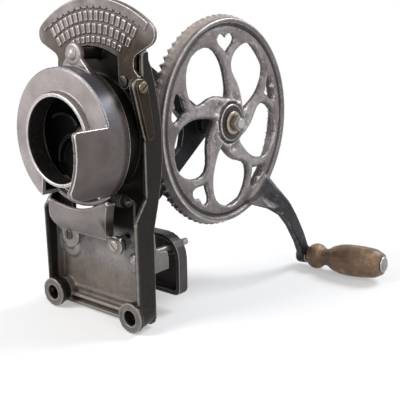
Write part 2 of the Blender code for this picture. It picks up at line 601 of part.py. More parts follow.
def frame_casting(material):
    """Plate, side walls, ledge, corner bosses, housing ring, bearing, pillars and shelf lugs."""
    frame = plate(
        "frame_casting", "Y",
        [[(PLATE_TOP_RIGHT, PLATE_TOP), (PLATE_TOP_LEFT + PLATE_SHOULDER_DROP, PLATE_TOP),
          (PLATE_TOP_LEFT, PLATE_TOP - PLATE_SHOULDER_DROP), (PLATE_TOP_LEFT, LEFT_WALL_TOP + CORNER_RADIUS * 2),
          (-FRAME_HALF_WIDTH, LEFT_WALL_TOP)]
         + arc((CORNER_RADIUS - FRAME_HALF_WIDTH, PLATE_BOTTOM + CORNER_RADIUS), CORNER_RADIUS, 180.0, 270.0)
         + arc((FRAME_HALF_WIDTH - CORNER_RADIUS, PLATE_BOTTOM + CORNER_RADIUS), CORNER_RADIUS, 270.0, 360.0)
         + [(FRAME_HALF_WIDTH, RIGHT_WALL_TOP)]],
        PLATE_FRONT, 0.0, material)
    joined = []
    rear_edge = []
    for index in range(ARC_STEPS * 2 + 1):
        share = -1.0 + index / ARC_STEPS
        height = AXIS_Z - CORNER_RADIUS + share * WALL_BULGE_SPAN
        rear_edge.append((WALL_BULGE * math.cos(share * math.pi / 2), height))
    wall_bottom = PLATE_BOTTOM + CORNER_RADIUS
    lug = [
        (PLATE_FRONT / 2, SHELF_BOTTOM), (SHELF_DEPTH, SHELF_BOTTOM),
        (SHELF_DEPTH, SHELF_BOTTOM + SHELF_HEIGHT / 2), (SHELF_DEPTH - OVERRUN, SHELF_BOTTOM + SHELF_HEIGHT * SHELF_NOSE_SHARE),
        (SHELF_DEPTH / 2, SHELF_BOTTOM + SHELF_HEIGHT),
        (SHELF_RISER_DEPTH + OVERRUN, SHELF_BOTTOM + SHELF_HEIGHT * SHELF_ROOT_SHARE),
        (SHELF_RISER_DEPTH, SHELF_RISER_TOP), (PLATE_FRONT / 2, SHELF_RISER_TOP),
    ]
    for label, sign in (("left", -1.0), ("right", 1.0)):
        outer = sign * FRAME_HALF_WIDTH
        inner = sign * (FRAME_HALF_WIDTH - WALL_THICKNESS)
        wall_top = LEFT_WALL_TOP if label == "left" else RIGHT_WALL_TOP - SEAT
        side = [
            (-SEAT, wall_bottom), *[(depth - WELD, height) for depth, height in rear_edge if height < wall_top],
            (PLATE_FRONT / 2, wall_top), (PLATE_FRONT - WALL_LIP, wall_top),
            (PLATE_FRONT - WALL_LIP, WALL_FRONT_RISE),
            (PLATE_FRONT - FLANGE_DEPTH, FLANGE_TOP), (PLATE_FRONT - FLANGE_DEPTH, wall_bottom),
        ]
        joined.append(plate(f"wall_{label}", "X", [side], min(outer, inner) + WELD, max(outer, inner) - WELD))
        lug_inner = inner - sign * SHELF_WIDTH
        joined.append(plate(f"shelf_{label}", "X", [lug], min(inner, lug_inner), max(inner, lug_inner)))
        boss = (sign * BOSS_X, BOSS_FRONT, BOSS_Z)
        joined.append(rod(f"boss_{label}", "Y", boss, PLATE_FRONT / 2 - BOSS_FRONT, BOSS_RADIUS,
                          end_radius=BOSS_ROOT_RADIUS))
        pad = (sign * CLAMP_X, PLATE_FRONT - CLAMP_PAD_HEIGHT, CLAMP_Z)
        joined.append(rod(f"pad_{label}", "Y", pad, CLAMP_PAD_HEIGHT + OVERRUN, CLAMP_PAD_RADIUS))
    joined.append(plate("strap_seat", "X", [strap_outline(STRAP_SEAT_EDGE)],
                        FRAME_HALF_WIDTH - WALL_THICKNESS - STRAP_SEAT_PROUD, FRAME_HALF_WIDTH + STRAP_SEAT_PROUD))
    for label, lobe_x, _ in APRON_LOBES:
        pillar_front = APRON_FOOT_Y + GAP
        joined.append(rod(f"apron_pillar_{label}", "Y", (lobe_x, pillar_front, APRON_LOBE_Z),
                          PLATE_FRONT / 2 - pillar_front, APRON_PILLAR_RADIUS, sides=SMALL_STEPS))
    joined.append(block(
        "ledge", (-BOSS_X, PLATE_FRONT - LEDGE_DEPTH, PLATE_BOTTOM + WELD),
        (BOSS_X, PLATE_FRONT / 2, PLATE_BOTTOM + LEDGE_HEIGHT)))
    joined.append(turned(
        "ring", "Y", (0.0, 0.0, AXIS_Z),
        ((RING_RADIUS, PLATE_FRONT / 2), (RING_RADIUS, RING_FRONT),
         (RING_RADIUS - RING_WALL, RING_FRONT), (RING_RADIUS - RING_WALL, PLATE_FRONT / 2))))
    joined.append(rod(
        "bearing", "Y", (0.0, PLATE_FRONT - BEARING_FRONT, AXIS_Z),
        BEARING_FRONT + PLATE_THICKNESS + BEARING_BACK, BEARING_RADIUS))
    joined.append(rod(
        "pivot_pillar", "Y", (PIVOT_X, LUG_BACK + GAP, PIVOT_Z),
        -LUG_BACK - GAP - PLATE_THICKNESS / 2, PIVOT_PILLAR_RADIUS, sides=SMALL_STEPS))
    combine(frame, "UNION", *joined)

    cuts = []
    cuts.append(plate("drop_cut", "Y", [wedge(RING_RADIUS + OVERRUN, DROP_FROM_DEGREES, DROP_TO_DEGREES)],
                      RING_FRONT - OVERRUN, PLATE_FRONT))
    cuts.append(plate(
        "kernel_window_cut", "Y",
        [rounded_box(KERNEL_WINDOW_LEFT, KERNEL_WINDOW_RIGHT, KERNEL_WINDOW_BOTTOM,
                     KERNEL_WINDOW_BOTTOM + KERNEL_WINDOW_HEIGHT, CORNER_RADIUS)],
        PLATE_FRONT - OVERRUN, OVERRUN))
    bore_start = PLATE_FRONT - BEARING_FRONT - OVERRUN
    cuts.append(rod("shaft_bore", "Y", (0.0, bore_start, AXIS_Z), -bore_start + BEARING_BACK + OVERRUN,
                    SHAFT_RADIUS + BOLT_CLEARANCE))
    cuts.append(rod("pivot_bore", "Y", (PIVOT_X, LUG_BACK - OVERRUN, PIVOT_Z), -LUG_BACK + OVERRUN * 2,
                    PIVOT_BOLT_RADIUS + BOLT_CLEARANCE, sides=SMALL_STEPS))
    for label, sign in (("left", -1.0), ("right", 1.0)):
        cuts.append(rod(f"boss_bore_{label}", "Y", (sign * BOSS_X, BOSS_FRONT - OVERRUN, BOSS_Z),
                        OVERRUN * 2 - BOSS_FRONT, BOSS_HOLE_RADIUS))
        pad_front = PLATE_FRONT - CLAMP_PAD_HEIGHT - OVERRUN
        cuts.append(rod(f"clamp_bore_{label}", "Y", (sign * CLAMP_X, pad_front, CLAMP_Z),
                        -pad_front + OVERRUN, CLAMP_BOLT_RADIUS + BOLT_CLEARANCE, sides=SMALL_STEPS))
        crest_bore = (CREST_LEG_X[label], PLATE_FRONT - WALL_LIP - OVERRUN, AXIS_Z + CREST_BOSS_RISE)
        cuts.append(rod(f"crest_bore_{label}", "Y", crest_bore, PLATE_THICKNESS + WALL_LIP + OVERRUN * 2,
                        CREST_SCREW_RADIUS + BOLT_CLEARANCE, sides=SMALL_STEPS))
    for label, lobe_x, _ in APRON_LOBES:
        cuts.append(rod(f"apron_bore_{label}", "Y", (lobe_x, APRON_FOOT_Y - OVERRUN, APRON_LOBE_Z),
                        OVERRUN * 2 - APRON_FOOT_Y, APRON_SCREW_RADIUS + BOLT_CLEARANCE, sides=SMALL_STEPS))
    seat_back = FRAME_HALF_WIDTH - WALL_THICKNESS - STRAP_SEAT_PROUD
    cuts.append(rod("strap_bore_frame", "X", (seat_back - OVERRUN, STRAP_BOSS_Y, AXIS_Z + STRAP_BOSS_RISE),
                    STRAP_BACK_X - seat_back + OVERRUN, CREST_SCREW_RADIUS + BOLT_CLEARANCE, sides=SMALL_STEPS))
    for label, height in bracket_bolt_heights():
        cuts.append(rod(f"bracket_bore_{label}", "Y", (bracket_bolt_x(), PLATE_FRONT - OVERRUN, height),
                        PLATE_THICKNESS + OVERRUN * 2, BRACKET_BOLT_RADIUS + BOLT_CLEARANCE, sides=SMALL_STEPS))
    combine(frame, "DIFFERENCE", *cuts)
    return frame


def bracket_bolt_heights():
    """Where the bracket's two feet are bolted to the frame."""
    upper = (BRACKET_UPPER_ROOT + BRACKET_UPPER_INNER) / 2
    lower = (BRACKET_LOWER_ROOT + BRACKET_LOWER_INNER) / 2
    return (("upper", AXIS_Z + upper), ("lower", AXIS_Z + lower))


def bracket_bolt_x():
    """Middle of each foot's free wing, beside the bracket's web."""
    return BRACKET_BACK_X + BRACKET_THICKNESS + BRACKET_BOLT_INSET


def axle_bracket(material):
    """A V-shaped bracket from the frame's back to the wheel's axle."""
    hub_y = WHEEL_AXIS_Y
    outer = [(GAP, AXIS_Z + BRACKET_UPPER_ROOT), (GAP, AXIS_Z + BRACKET_UPPER_INNER)]
    outer += [(BRACKET_CROTCH_Y - BRACKET_CROTCH_ROUND, AXIS_Z + BRACKET_CROTCH_UPPER + BRACKET_CROTCH_ROUND),
              (BRACKET_CROTCH_Y, AXIS_Z + BRACKET_CROTCH_UPPER),
              (BRACKET_CROTCH_Y + OVERRUN, AXIS_Z + (BRACKET_CROTCH_UPPER + BRACKET_CROTCH_LOWER) / 2),
              (BRACKET_CROTCH_Y - OVERRUN, AXIS_Z + BRACKET_CROTCH_LOWER)]
    outer += [(GAP, AXIS_Z + BRACKET_LOWER_INNER), (GAP, AXIS_Z + BRACKET_LOWER_ROOT)]
    outer += arc((hub_y, AXIS_Z), BRACKET_HUB_RADIUS, *BRACKET_HUB_DEGREES)
    bracket = plate("axle_bracket", "X", [outer], BRACKET_BACK_X, BRACKET_BACK_X + BRACKET_THICKNESS, material)
    hub = rod("bracket_hub", "X", (BRACKET_HUB_BACK_X, hub_y, AXIS_Z), BRACKET_HUB_LENGTH, BRACKET_HUB_RADIUS)
    feet = []
    for label, height in bracket_bolt_heights():
        low = (BRACKET_BACK_X + SEAT, GAP, height - BRACKET_FOOT_HEIGHT / 2)
        high = (BRACKET_BACK_X + BRACKET_FOOT_WIDTH, GAP + BRACKET_FOOT_THICKNESS, height + BRACKET_FOOT_HEIGHT / 2)
        feet.append(block(f"foot_{label}", low, high))
    combine(bracket, "UNION", hub, *feet)
    bore = rod("axle_bore", "X", (BRACKET_HUB_BACK_X - OVERRUN, hub_y, AXIS_Z),
               HUB_BACK_X - BRACKET_HUB_BACK_X + OVERRUN * 2, AXLE_RADIUS + BOLT_CLEARANCE)
    bolt_bores = []
    for label, height in bracket_bolt_heights():
        bolt_bores.append(rod(f"foot_bore_{label}", "Y", (bracket_bolt_x(), GAP - OVERRUN, height),
                              BRACKET_FOOT_THICKNESS + OVERRUN * 2, BRACKET_BOLT_RADIUS + BOLT_CLEARANCE, sides=SMALL_STEPS))
    combine(bracket, "DIFFERENCE", bore, *bolt_bores)
    return bracket


def bracket_bolts(material):
    """Two square-headed bolts behind the feet, screwed into the frame."""
    for label, height in bracket_bolt_heights():
        back = GAP * 2 + BRACKET_FOOT_THICKNESS
        outline = polygon((bracket_bolt_x(), height), BRACKET_BOLT_HEAD_ACROSS, SQUARE_SIDES, SQUARE_DEGREES)
        head = plate(f"bracket_bolt_{label}", "Y", [outline], back, back + BRACKET_BOLT_HEAD_HEIGHT, material)
        shank = rod(f"bracket_shank_{label}", "Y", (bracket_bolt_x(), PLATE_FRONT, height),
                    PLATE_THICKNESS + back + OVERRUN / 2, BRACKET_BOLT_RADIUS, sides=SMALL_STEPS)
        combine(head, "UNION", shank)


def crest_side(sign):
    """One side of the fan from its top arc to its neck: a round corner, a straight shoulder and a hollow."""
    reach = CREST_TOP_RADIUS - CREST_CORNER_RADIUS
    corner_angle = math.degrees(math.acos(CREST_CORNER_X / reach))
    corner = (CREST_CORNER_X, CREST_TOP_RISE - CREST_TOP_RADIUS + reach * math.sin(math.radians(corner_angle)))
    hollow = (CREST_NECK_X + CREST_NECK_RADIUS, CREST_NECK_RISE)
    side = arc(corner, CREST_CORNER_RADIUS, corner_angle, CREST_SHOULDER_DEGREES - 90.0)
    side += arc(hollow, CREST_NECK_RADIUS, 90.0 + CREST_SHOULDER_DEGREES, 180.0)
    return [(PIVOT_X + sign * x, AXIS_Z + rise) for x, rise in side], corner_angle


def crest_leg(label):
    """A leg's outline from its left edge round its screw to its right edge."""
    boss = (CREST_LEG_X[label], AXIS_Z + CREST_BOSS_RISE)
    return arc(boss, CREST_LEG_HALF_WIDTH, 180.0, 360.0)


def crest_plaque(material):
    """A bare fan with a raised border, on two legs that stand on the frame; an arm reaches out to the strap."""
    top_centre = (PIVOT_X, AXIS_Z + CREST_TOP_RISE - CREST_TOP_RADIUS)
    right_side, corner_angle = crest_side(1.0)
    left_side = crest_side(-1.0)[0]
    right_leg = crest_leg("right")
    left_leg = crest_leg("left")
    inner_from = math.degrees(math.acos(left_leg[-1][0] / CREST_INNER_RADIUS))
    inner_to = math.degrees(math.acos(right_leg[0][0] / CREST_INNER_RADIUS))
    arm_z = AXIS_Z + STRAP_BOSS_RISE + STRAP_BOSS_RADIUS + STRAP_SEAT_EDGE + GAP
    outline = arc((0.0, AXIS_Z), CREST_INNER_RADIUS, inner_from, inner_to, ARC_STEPS * 2)
    outline += right_leg
    outline += [(FRAME_HALF_WIDTH - CREST_ARM_TIP, arm_z), (FRAME_HALF_WIDTH - GAP, arm_z),
                (PIVOT_X + CREST_NECK_X, arm_z + CREST_ARM_HEIGHT)]
    outline += right_side[::-1]
    outline += arc(top_centre, CREST_TOP_RADIUS, corner_angle, 180.0 - corner_angle, ARC_STEPS * 3)[1:-1]
    outline += left_side
    outline += left_leg
    back = PLATE_FRONT - WALL_LIP - GAP
    front = back - CREST_THICKNESS
    crest = plate("crest_plaque", "Y", [outline], front, back, material)
    border_inner = CREST_TOP_RADIUS - CREST_BORDER_WIDTH
    border_from = corner_angle + CREST_BORDER_END_DEGREES
    border = arc(top_centre, CREST_TOP_RADIUS - CREST_BORDER_EDGE, border_from, 180.0 - border_from, ARC_STEPS * 3)
    border += arc(top_centre, border_inner, 180.0 - border_from, border_from, ARC_STEPS * 3)
    raised = plate("crest_border", "Y", [border], front - CREST_BORDER_HEIGHT, front + SEAT)
    bores = []
    for label, leg_x in CREST_LEG_X.items():
        bores.append(rod(f"leg_bore_{label}", "Y", (leg_x, front - OVERRUN, AXIS_Z + CREST_BOSS_RISE),
                         CREST_THICKNESS + OVERRUN * 2, CREST_SCREW_RADIUS + BOLT_CLEARANCE, sides=SMALL_STEPS))
    combine(crest, "DIFFERENCE", *bores)
    combine(crest, "UNION", raised)
    return crest


def strap_outline(edge):
    """The round boss and the round foot of the strap, edge wider, and the straight sides that touch both."""
    boss = (STRAP_BOSS_Y, AXIS_Z + STRAP_BOSS_RISE)
    foot = (STRAP_FOOT_Y, AXIS_Z + STRAP_FOOT_RISE)
    along = math.degrees(math.atan2(boss[1] - foot[1], boss[0] - foot[0]))
    spread = 90.0 + math.degrees(math.asin((STRAP_BOSS_RADIUS - STRAP_FOOT_RADIUS) / math.dist(boss, foot)))
    return (arc(boss, STRAP_BOSS_RADIUS + edge, along - spread, along + spread, ARC_STEPS * 2)
            + arc(foot, STRAP_FOOT_RADIUS + edge, along + spread, along + 360.0 - spread, ARC_STEPS * 2))


def side_strap(material):
    """Narrow strap down the crank side of the frame, round at its foot and wider at its boss."""
    strap = plate("side_strap", "X", [strap_outline(0.0)], STRAP_BACK_X, STRAP_BACK_X + STRAP_THICKNESS, material)
    bore = rod("strap_bore", "X", (STRAP_BACK_X - OVERRUN, STRAP_BOSS_Y, AXIS_Z + STRAP_BOSS_RISE),
               STRAP_THICKNESS + OVERRUN * 2, CREST_SCREW_RADIUS + BOLT_CLEARANCE, sides=SMALL_STEPS)
    return combine(strap, "DIFFERENCE", bore)


def slotted_screw(name, place, head_radius, head_height, radius, length, material, angle_degrees, axis="Y"):
    """A screw with a low head and a slot: its head's back is at the place, and it points along +Y or -X."""
    outward = 1.0 if axis == "X" else -1.0
    profile = [
        (0.0, -length), (radius, -length), (radius, 0.0), (head_radius, 0.0),
        (head_radius, head_height * SCREW_EDGE_SHARE), (head_radius * SCREW_CROWN_SHARE, head_height),
        (0.0, head_height)]
    profile = [(reach, outward * along) for reach, along in profile]
    if axis == "X":
        profile.reverse()
    screw = turned(name, axis, place, profile, material, steps=SMALL_STEPS)
    half = head_radius + OVERRUN
    shape = bmesh.new()
    bmesh.ops.create_cube(shape, size=1.0)
    size = Matrix.Diagonal((half * 2, SLOT_DEPTH * 2, SLOT_WIDTH, 1.0))
    turn = Matrix.Rotation(math.radians(angle_degrees), 4, "Y")
    stand = Matrix.Rotation(math.pi / 2, 4, "Z") if axis == "X" else Matrix.Identity(4)
    top = Vector(place) + stand @ Vector((0.0, -head_height, 0.0))
    bmesh.ops.transform(shape, matrix=Matrix.Translation(top) @ stand @ turn @ size, verts=shape.verts)
    combine(screw, "DIFFERENCE", add_object(f"{name}_slot", mesh_from(shape, f"{name}_slot")))
    return screw


def throat(material, pivot):
    """Drum with a mouth collar, a hood below it on the crank side, a pivot lug and a spring post."""
    centre = (-PIVOT_X, 0.0, -PIVOT_RISE)
    collar = MOUTH_RADIUS + COLLAR_WALL
    inner = DRUM_RADIUS - DRUM_WALL
    face_back = DRUM_FRONT + FACE_THICKNESS
    drum = turned("throat_casting", "Y", centre, (
        (DRUM_RADIUS, DRUM_BACK), (DRUM_RADIUS, DRUM_FRONT + DRUM_EDGE), (DRUM_RADIUS - DRUM_EDGE, DRUM_FRONT),
        (collar + COLLAR_FLARE, DRUM_FRONT), (collar, DRUM_FRONT - COLLAR_FLARE),
        (collar, DRUM_FRONT - COLLAR_PROUD), (MOUTH_RADIUS, DRUM_FRONT - COLLAR_PROUD),
        (MOUTH_RADIUS, DRUM_FRONT + COLLAR_DEPTH), (collar, DRUM_FRONT + COLLAR_DEPTH), (collar, face_back),
        (inner, face_back), (inner, DRUM_BACK - BACK_RIM_THICKNESS),
        (BACK_RIM_INNER_RADIUS, DRUM_BACK - BACK_RIM_THICKNESS), (BACK_RIM_INNER_RADIUS, DRUM_BACK)), material, pivot)

    # The hood is the part of a longer drum wall that its outline keeps.
    hood_front = DRUM_FRONT - HOOD_LENGTH
    hood = turned("hood", "Y", centre, (
        (DRUM_RADIUS - WELD, face_back + OVERRUN), (DRUM_RADIUS - WELD, hood_front), (inner + WELD, hood_front),
        (inner + WELD, face_back + OVERRUN)), parent=pivot)
    sweep_z = HOOD_FOOT + HOOD_SWEEP_HEIGHT
    sweep = [(DRUM_FRONT - HOOD_LENGTH * along, HOOD_FOOT + HOOD_SWEEP_HEIGHT * up) for along, up in HOOD_SWEEP_SHARES]
    keep = [
        (face_back + OVERRUN * 2, HOOD_FOOT), *sweep, (hood_front - OVERRUN, sweep_z + OVERRUN),
        *arc((hood_front + HOOD_CORNER, HOOD_TOP - HOOD_CORNER), HOOD_CORNER, 180.0, 90.0),
        (face_back + OVERRUN * 2, HOOD_TOP),
    ]
    keep = [(y, z - PIVOT_RISE) for y, z in keep]
    keeper = plate("hood_keep", "X", [keep], 0.0, DRUM_RADIUS + OVERRUN, parent=pivot)
    combine(hood, "INTERSECT", keeper)

    lug_base = -PIVOT_RISE + math.sqrt(inner ** 2 - PIVOT_LUG_FOOT_HALF_WIDTH ** 2)
    lug_foot = lug_base + OVERRUN
    lug_outline = [(-PIVOT_LUG_FOOT_HALF_WIDTH, lug_foot), (PIVOT_LUG_FOOT_HALF_WIDTH, lug_foot)]
    lug_outline += arc((0.0, 0.0), PIVOT_LUG_RADIUS, -PIVOT_LUG_ROUND_DEGREES, 180.0 + PIVOT_LUG_ROUND_DEGREES,
                       ARC_STEPS * 2)
    lug = plate("pivot_lug", "Y", [lug_outline], LUG_FRONT, LUG_BACK, parent=pivot)
    post_start = (SPRING_POST_X - PIVOT_X, DRUM_BACK - BACK_RIM_THICKNESS / 2, -PIVOT_RISE - SPRING_DROP)
    post = rod("spring_post", "Y", post_start, SPRING_Y - DRUM_BACK + BACK_RIM_THICKNESS, SPRING_POST_RADIUS,
               parent=pivot, sides=SMALL_STEPS)

    face_slice = slice_from_pivot(FACE_CUT_TO_DEGREES)
    face_cut = plate("face_cut", "Y", [face_slice], DRUM_FRONT - COLLAR_PROUD - OVERRUN, face_back + WELD, parent=pivot)
    core_start = (-PIVOT_X, DRUM_FRONT - HOOD_LENGTH, -PIVOT_RISE)
    spare = rod("face_cut_core", "Y", core_start, HOOD_LENGTH * 2, collar + COLLAR_FLARE, parent=pivot, sides=FINE_STEPS)
    combine(face_cut, "DIFFERENCE", spare)
    wall_cut = plate("wall_cut", "Y", [slice_from_pivot(DROP_TO_DEGREES)], DRUM_FRONT - OVERRUN,
                     DRUM_BACK - BACK_RIM_THICKNESS + SEAT, parent=pivot)
    wall_core = rod("wall_cut_core", "Y", core_start, HOOD_LENGTH * 2, inner - DRUM_WALL, parent=pivot, sides=FINE_STEPS)
    combine(wall_cut, "DIFFERENCE", wall_core)
    bore = rod("lug_bore", "Y", (0.0, LUG_FRONT - OVERRUN, 0.0), PIVOT_LUG_THICKNESS + OVERRUN * 2,
               PIVOT_BOLT_RADIUS + BOLT_CLEARANCE, parent=pivot, sides=SMALL_STEPS)
    combine(drum, "DIFFERENCE", face_cut, wall_cut)
    combine(drum, "UNION", hood, lug, post)
    combine(drum, "DIFFERENCE", bore)
    return drum


def slice_from_pivot(to_degrees):
    """A slice of the drum, from the open drop to an angle, in the pivot's own frame; its left edge is steep."""
    points = [(-FACE_CUT_APEX, AXIS_Z)] + wedge(SLICE_RADIUS, FACE_CUT_FROM_DEGREES, to_degrees)[1:]
    return [(x - PIVOT_X, z - AXIS_Z - PIVOT_RISE) for x, z in points]


def dome(radius, back, height):
    """The outer half of a domed head's profile, which stands on a plane and rises along -Y."""
    points = [(radius, back)]
    points += [(radius * across, back - height * up) for across, up in DOME_SHARES]
    return points + [(0.0, back - height)]


def pivot_fasteners(steel, pivot_place):
    """The domed bolt that the throat hangs on and the nut behind the frame."""
    x, y, z = pivot_place
    head_back = LUG_FRONT - GAP
    end = PIVOT_NUT_HEIGHT + OVERRUN
    turned("throat_pivot_bolt", "Y", (x, 0.0, z), (
        (0.0, end), (PIVOT_BOLT_RADIUS, end), (PIVOT_BOLT_RADIUS, head_back),
        *dome(PIVOT_HEAD_RADIUS, head_back, PIVOT_HEAD_HEIGHT)), steel, steps=MEDIUM_STEPS)
    nut("throat_pivot_nut", "Y", (x, z), GAP, PIVOT_NUT_HEIGHT, PIVOT_NUT_ACROSS, PIVOT_BOLT_RADIUS, steel)


def nut(name, axis, centre, start, height, across, bolt_radius, material, parent=None, turned_degrees=SQUARE_DEGREES):
    """A square nut with a round hole."""
    hole = arc(centre, bolt_radius + BOLT_CLEARANCE, 0.0, 360.0 * (SMALL_STEPS - 1) / SMALL_STEPS, SMALL_STEPS - 1)
    square = polygon(centre, across, SQUARE_SIDES, turned_degrees)
    return plate(name, axis, [square, hole], start, start + height, material, parent)


def spring_points():
    """Centre line of the spring: a loop round each end pin and the coil between them."""
    loop = SPRING_POST_RADIUS + SPRING_WIRE_RADIUS + GAP
    z = AXIS_Z - SPRING_DROP
    start_x = SPRING_POST_X + loop + SPRING_LEAD
    end_x = SPRING_ANCHOR_X - loop - SPRING_LEAD
    count = SPRING_TURNS * SPRING_POINTS_PER_TURN
    coil = []
    for index in range(count + 1):
        turn = math.tau * index / SPRING_POINTS_PER_TURN
        x = start_x + (end_x - start_x) * index / count
        coil.append((x, SPRING_Y + SPRING_COIL_RADIUS * math.cos(turn), z + SPRING_COIL_RADIUS * math.sin(turn)))
    loop_y = SPRING_Y - SPRING_WIRE_RADIUS
    first_loop = []
    last_loop = []
    for index in range(ARC_STEPS + 1):
        swept = SPRING_LOOP_DEGREES * index / ARC_STEPS
        angle = math.radians(SPRING_LOOP_FROM_DEGREES + SPRING_LOOP_DEGREES - swept)
        first_loop.append((SPRING_POST_X + loop * math.cos(angle), loop_y, z + loop * math.sin(angle)))
        angle = math.radians(SPRING_LOOP_FROM_DEGREES + 180.0 - swept)
        last_loop.append((SPRING_ANCHOR_X + loop * math.cos(angle), loop_y, z + loop * math.sin(angle)))
    return first_loop + coil + last_loop


def least_self_gap(points, radius, neighbours):
    """Least clear distance between stretches of a wire that aren't neighbours."""
    least = math.inf
    for index, place in enumerate(points):
        for other in points[index + neighbours:]:
            least = min(least, (Vector(place) - Vector(other)).length - 2 * radius)
    return least


def throat_spring(material):
    """Tension spring from the throat's post to the frame's anchor, one unbroken wire."""
    points = spring_points()
    gap = least_self_gap(points, SPRING_WIRE_RADIUS, SPRING_POINTS_PER_TURN - 2)
    print(f"spring: least gap to itself {gap / MM:.2f} mm")
    return wire("throat_spring", points, SPRING_WIRE_RADIUS, material)


def spring_anchor(material):
    """Rod bent up from the crank-side wall and then forwards through the spring's far loop."""
    z = AXIS_Z - SPRING_DROP
    wall = FRAME_HALF_WIDTH - WALL_THICKNESS - GAP
    points = [
        (wall, ANCHOR_Y, z - ANCHOR_DROP), (SPRING_ANCHOR_X + ANCHOR_BEND, ANCHOR_Y, z - ANCHOR_DROP),
        (SPRING_ANCHOR_X, ANCHOR_Y, z - ANCHOR_DROP + ANCHOR_BEND), (SPRING_ANCHOR_X, ANCHOR_Y, z - ANCHOR_BEND),
        (SPRING_ANCHOR_X, ANCHOR_Y - ANCHOR_BEND, z), (SPRING_ANCHOR_X, SPRING_Y - ANCHOR_PROUD, z),
    ]
    return wire("spring_anchor", points, ANCHOR_WIRE_RADIUS, material, resolution=2)


def apron_places(across, wall_side):
    """One column of the apron's skin from lip to foot, on one side of its wall."""
    angle = math.radians(APRON_LIP_FROM_DEGREES + (APRON_LIP_TO_DEGREES - APRON_LIP_FROM_DEGREES) * across)
    radius = APRON_LIP_RADIUS + APRON_WALL / 2 * wall_side
    lip = Vector((radius * math.cos(angle), APRON_FRONT, AXIS_Z + radius * math.sin(angle)))
    foot_x = APRON_FOOT_LEFT + (APRON_FACE_RIGHT - APRON_FOOT_LEFT) * across
    foot_y = APRON_FOOT_Y - APRON_LOBE_THICKNESS / 2 - APRON_WALL / 2 * wall_side
    foot = Vector((foot_x, foot_y, APRON_FOOT_Z))
    places = []
    for row in range(APRON_ROWS + 1):
        down = row / APRON_ROWS
        place = lip + (foot - lip) * down
        place.y = lip.y + (foot.y - lip.y) * down ** 2
        places.append(place)
    return places


def apron(material):
    """Chute below the drum: a round lip in front, narrowing down and back to two screwed lobes."""
    sections = []
    for column in range(APRON_COLUMNS + 1):
        across = column / APRON_COLUMNS
        sections.append(apron_places(across, 1.0) + apron_places(across, -1.0)[::-1])
    chute = loft("apron", sections, material)
    low = APRON_FOOT_Z - OVERRUN
    high = APRON_FOOT_Z + OVERRUN
    outline = [(APRON_FOOT_LEFT - APRON_FOOT_EDGE, high), (APRON_FOOT_LEFT - APRON_FOOT_EDGE, low + SEAT * 2)]
    bores = []
    for label, lobe_x, lobe_radius in APRON_LOBES:
        centre = (lobe_x, APRON_LOBE_Z)
        outer = SEAT if label == "left" else 0.0
        outline.append((lobe_x - lobe_radius, low + outer))
        outline += arc(centre, lobe_radius, 180.0, 360.0)
        outline.append((lobe_x + lobe_radius, low + SEAT - outer))
        bore_start = (lobe_x, APRON_FOOT_Y - APRON_LOBE_THICKNESS - OVERRUN, APRON_LOBE_Z)
        bores.append(rod(f"lobe_bore_{label}", "Y", bore_start, APRON_LOBE_THICKNESS + OVERRUN * 2,
                         APRON_SCREW_RADIUS + BOLT_CLEARANCE, sides=SMALL_STEPS))
    outline += [(APRON_FOOT_RIGHT + APRON_FOOT_EDGE, low + SEAT * 2), (APRON_FOOT_RIGHT + APRON_FOOT_EDGE, high)]
    foot = plate("apron_foot", "Y", [outline], APRON_FOOT_Y - APRON_LOBE_THICKNESS, APRON_FOOT_Y)
    combine(chute, "UNION", foot)
    combine(chute, "DIFFERENCE", *bores)
    return chute


def beside(line, offset):
    """Points at one side of a line that is given as radius and angle."""
    return [(radius * math.cos(angle) - offset * math.sin(angle), radius * math.sin(angle) + offset * math.cos(angle))
            for radius, angle in line]


def shelling_disc(material, centre):
    """Dished disc with curved ribs that bite on the ear, and a nose at its middle."""
    disc = turned("shelling_disc", "Y", (0.0, 0.0, 0.0), (
        (DISC_RADIUS, DISC_BACK - BEARING_FRONT), (DISC_RADIUS, DISC_FRONT - BEARING_FRONT),
        (DISC_NOSE_RADIUS + OVERRUN, DISC_FRONT), (DISC_NOSE_RADIUS, DISC_FRONT - DISC_NOSE_HEIGHT),
        (SHAFT_RADIUS + BOLT_CLEARANCE, DISC_FRONT - DISC_NOSE_HEIGHT), (SHAFT_RADIUS + BOLT_CLEARANCE, DISC_BACK),
        (DISC_HUB_RADIUS, DISC_BACK), (DISC_HUB_RADIUS, DISC_BACK - BEARING_FRONT / 2)), material, centre)
    ribs = []
    for index in range(DISC_RIBS):
        start = 360.0 * index / DISC_RIBS
        line = []
        for step in range(ARC_STEPS + 1):
            share = step / ARC_STEPS
            radius = DISC_RIB_INNER_RADIUS + (DISC_RIB_OUTER_RADIUS - DISC_RIB_INNER_RADIUS) * share
            line.append((radius, math.radians(start + DISC_RIB_SWEEP_DEGREES * share ** DISC_RIB_SWEEP_POWER)))
        left = beside(line, DISC_RIB_HALF_WIDTH)
        right = beside(line, -DISC_RIB_HALF_WIDTH)
        ribs.append(plate(f"rib_{index}", "Y", [right + left[::-1]], DISC_FRONT - BEARING_FRONT - DISC_RIB_HEIGHT,
                          DISC_FRONT - WELD, parent=centre))
    combine(disc, "UNION", *ribs)
    return disc


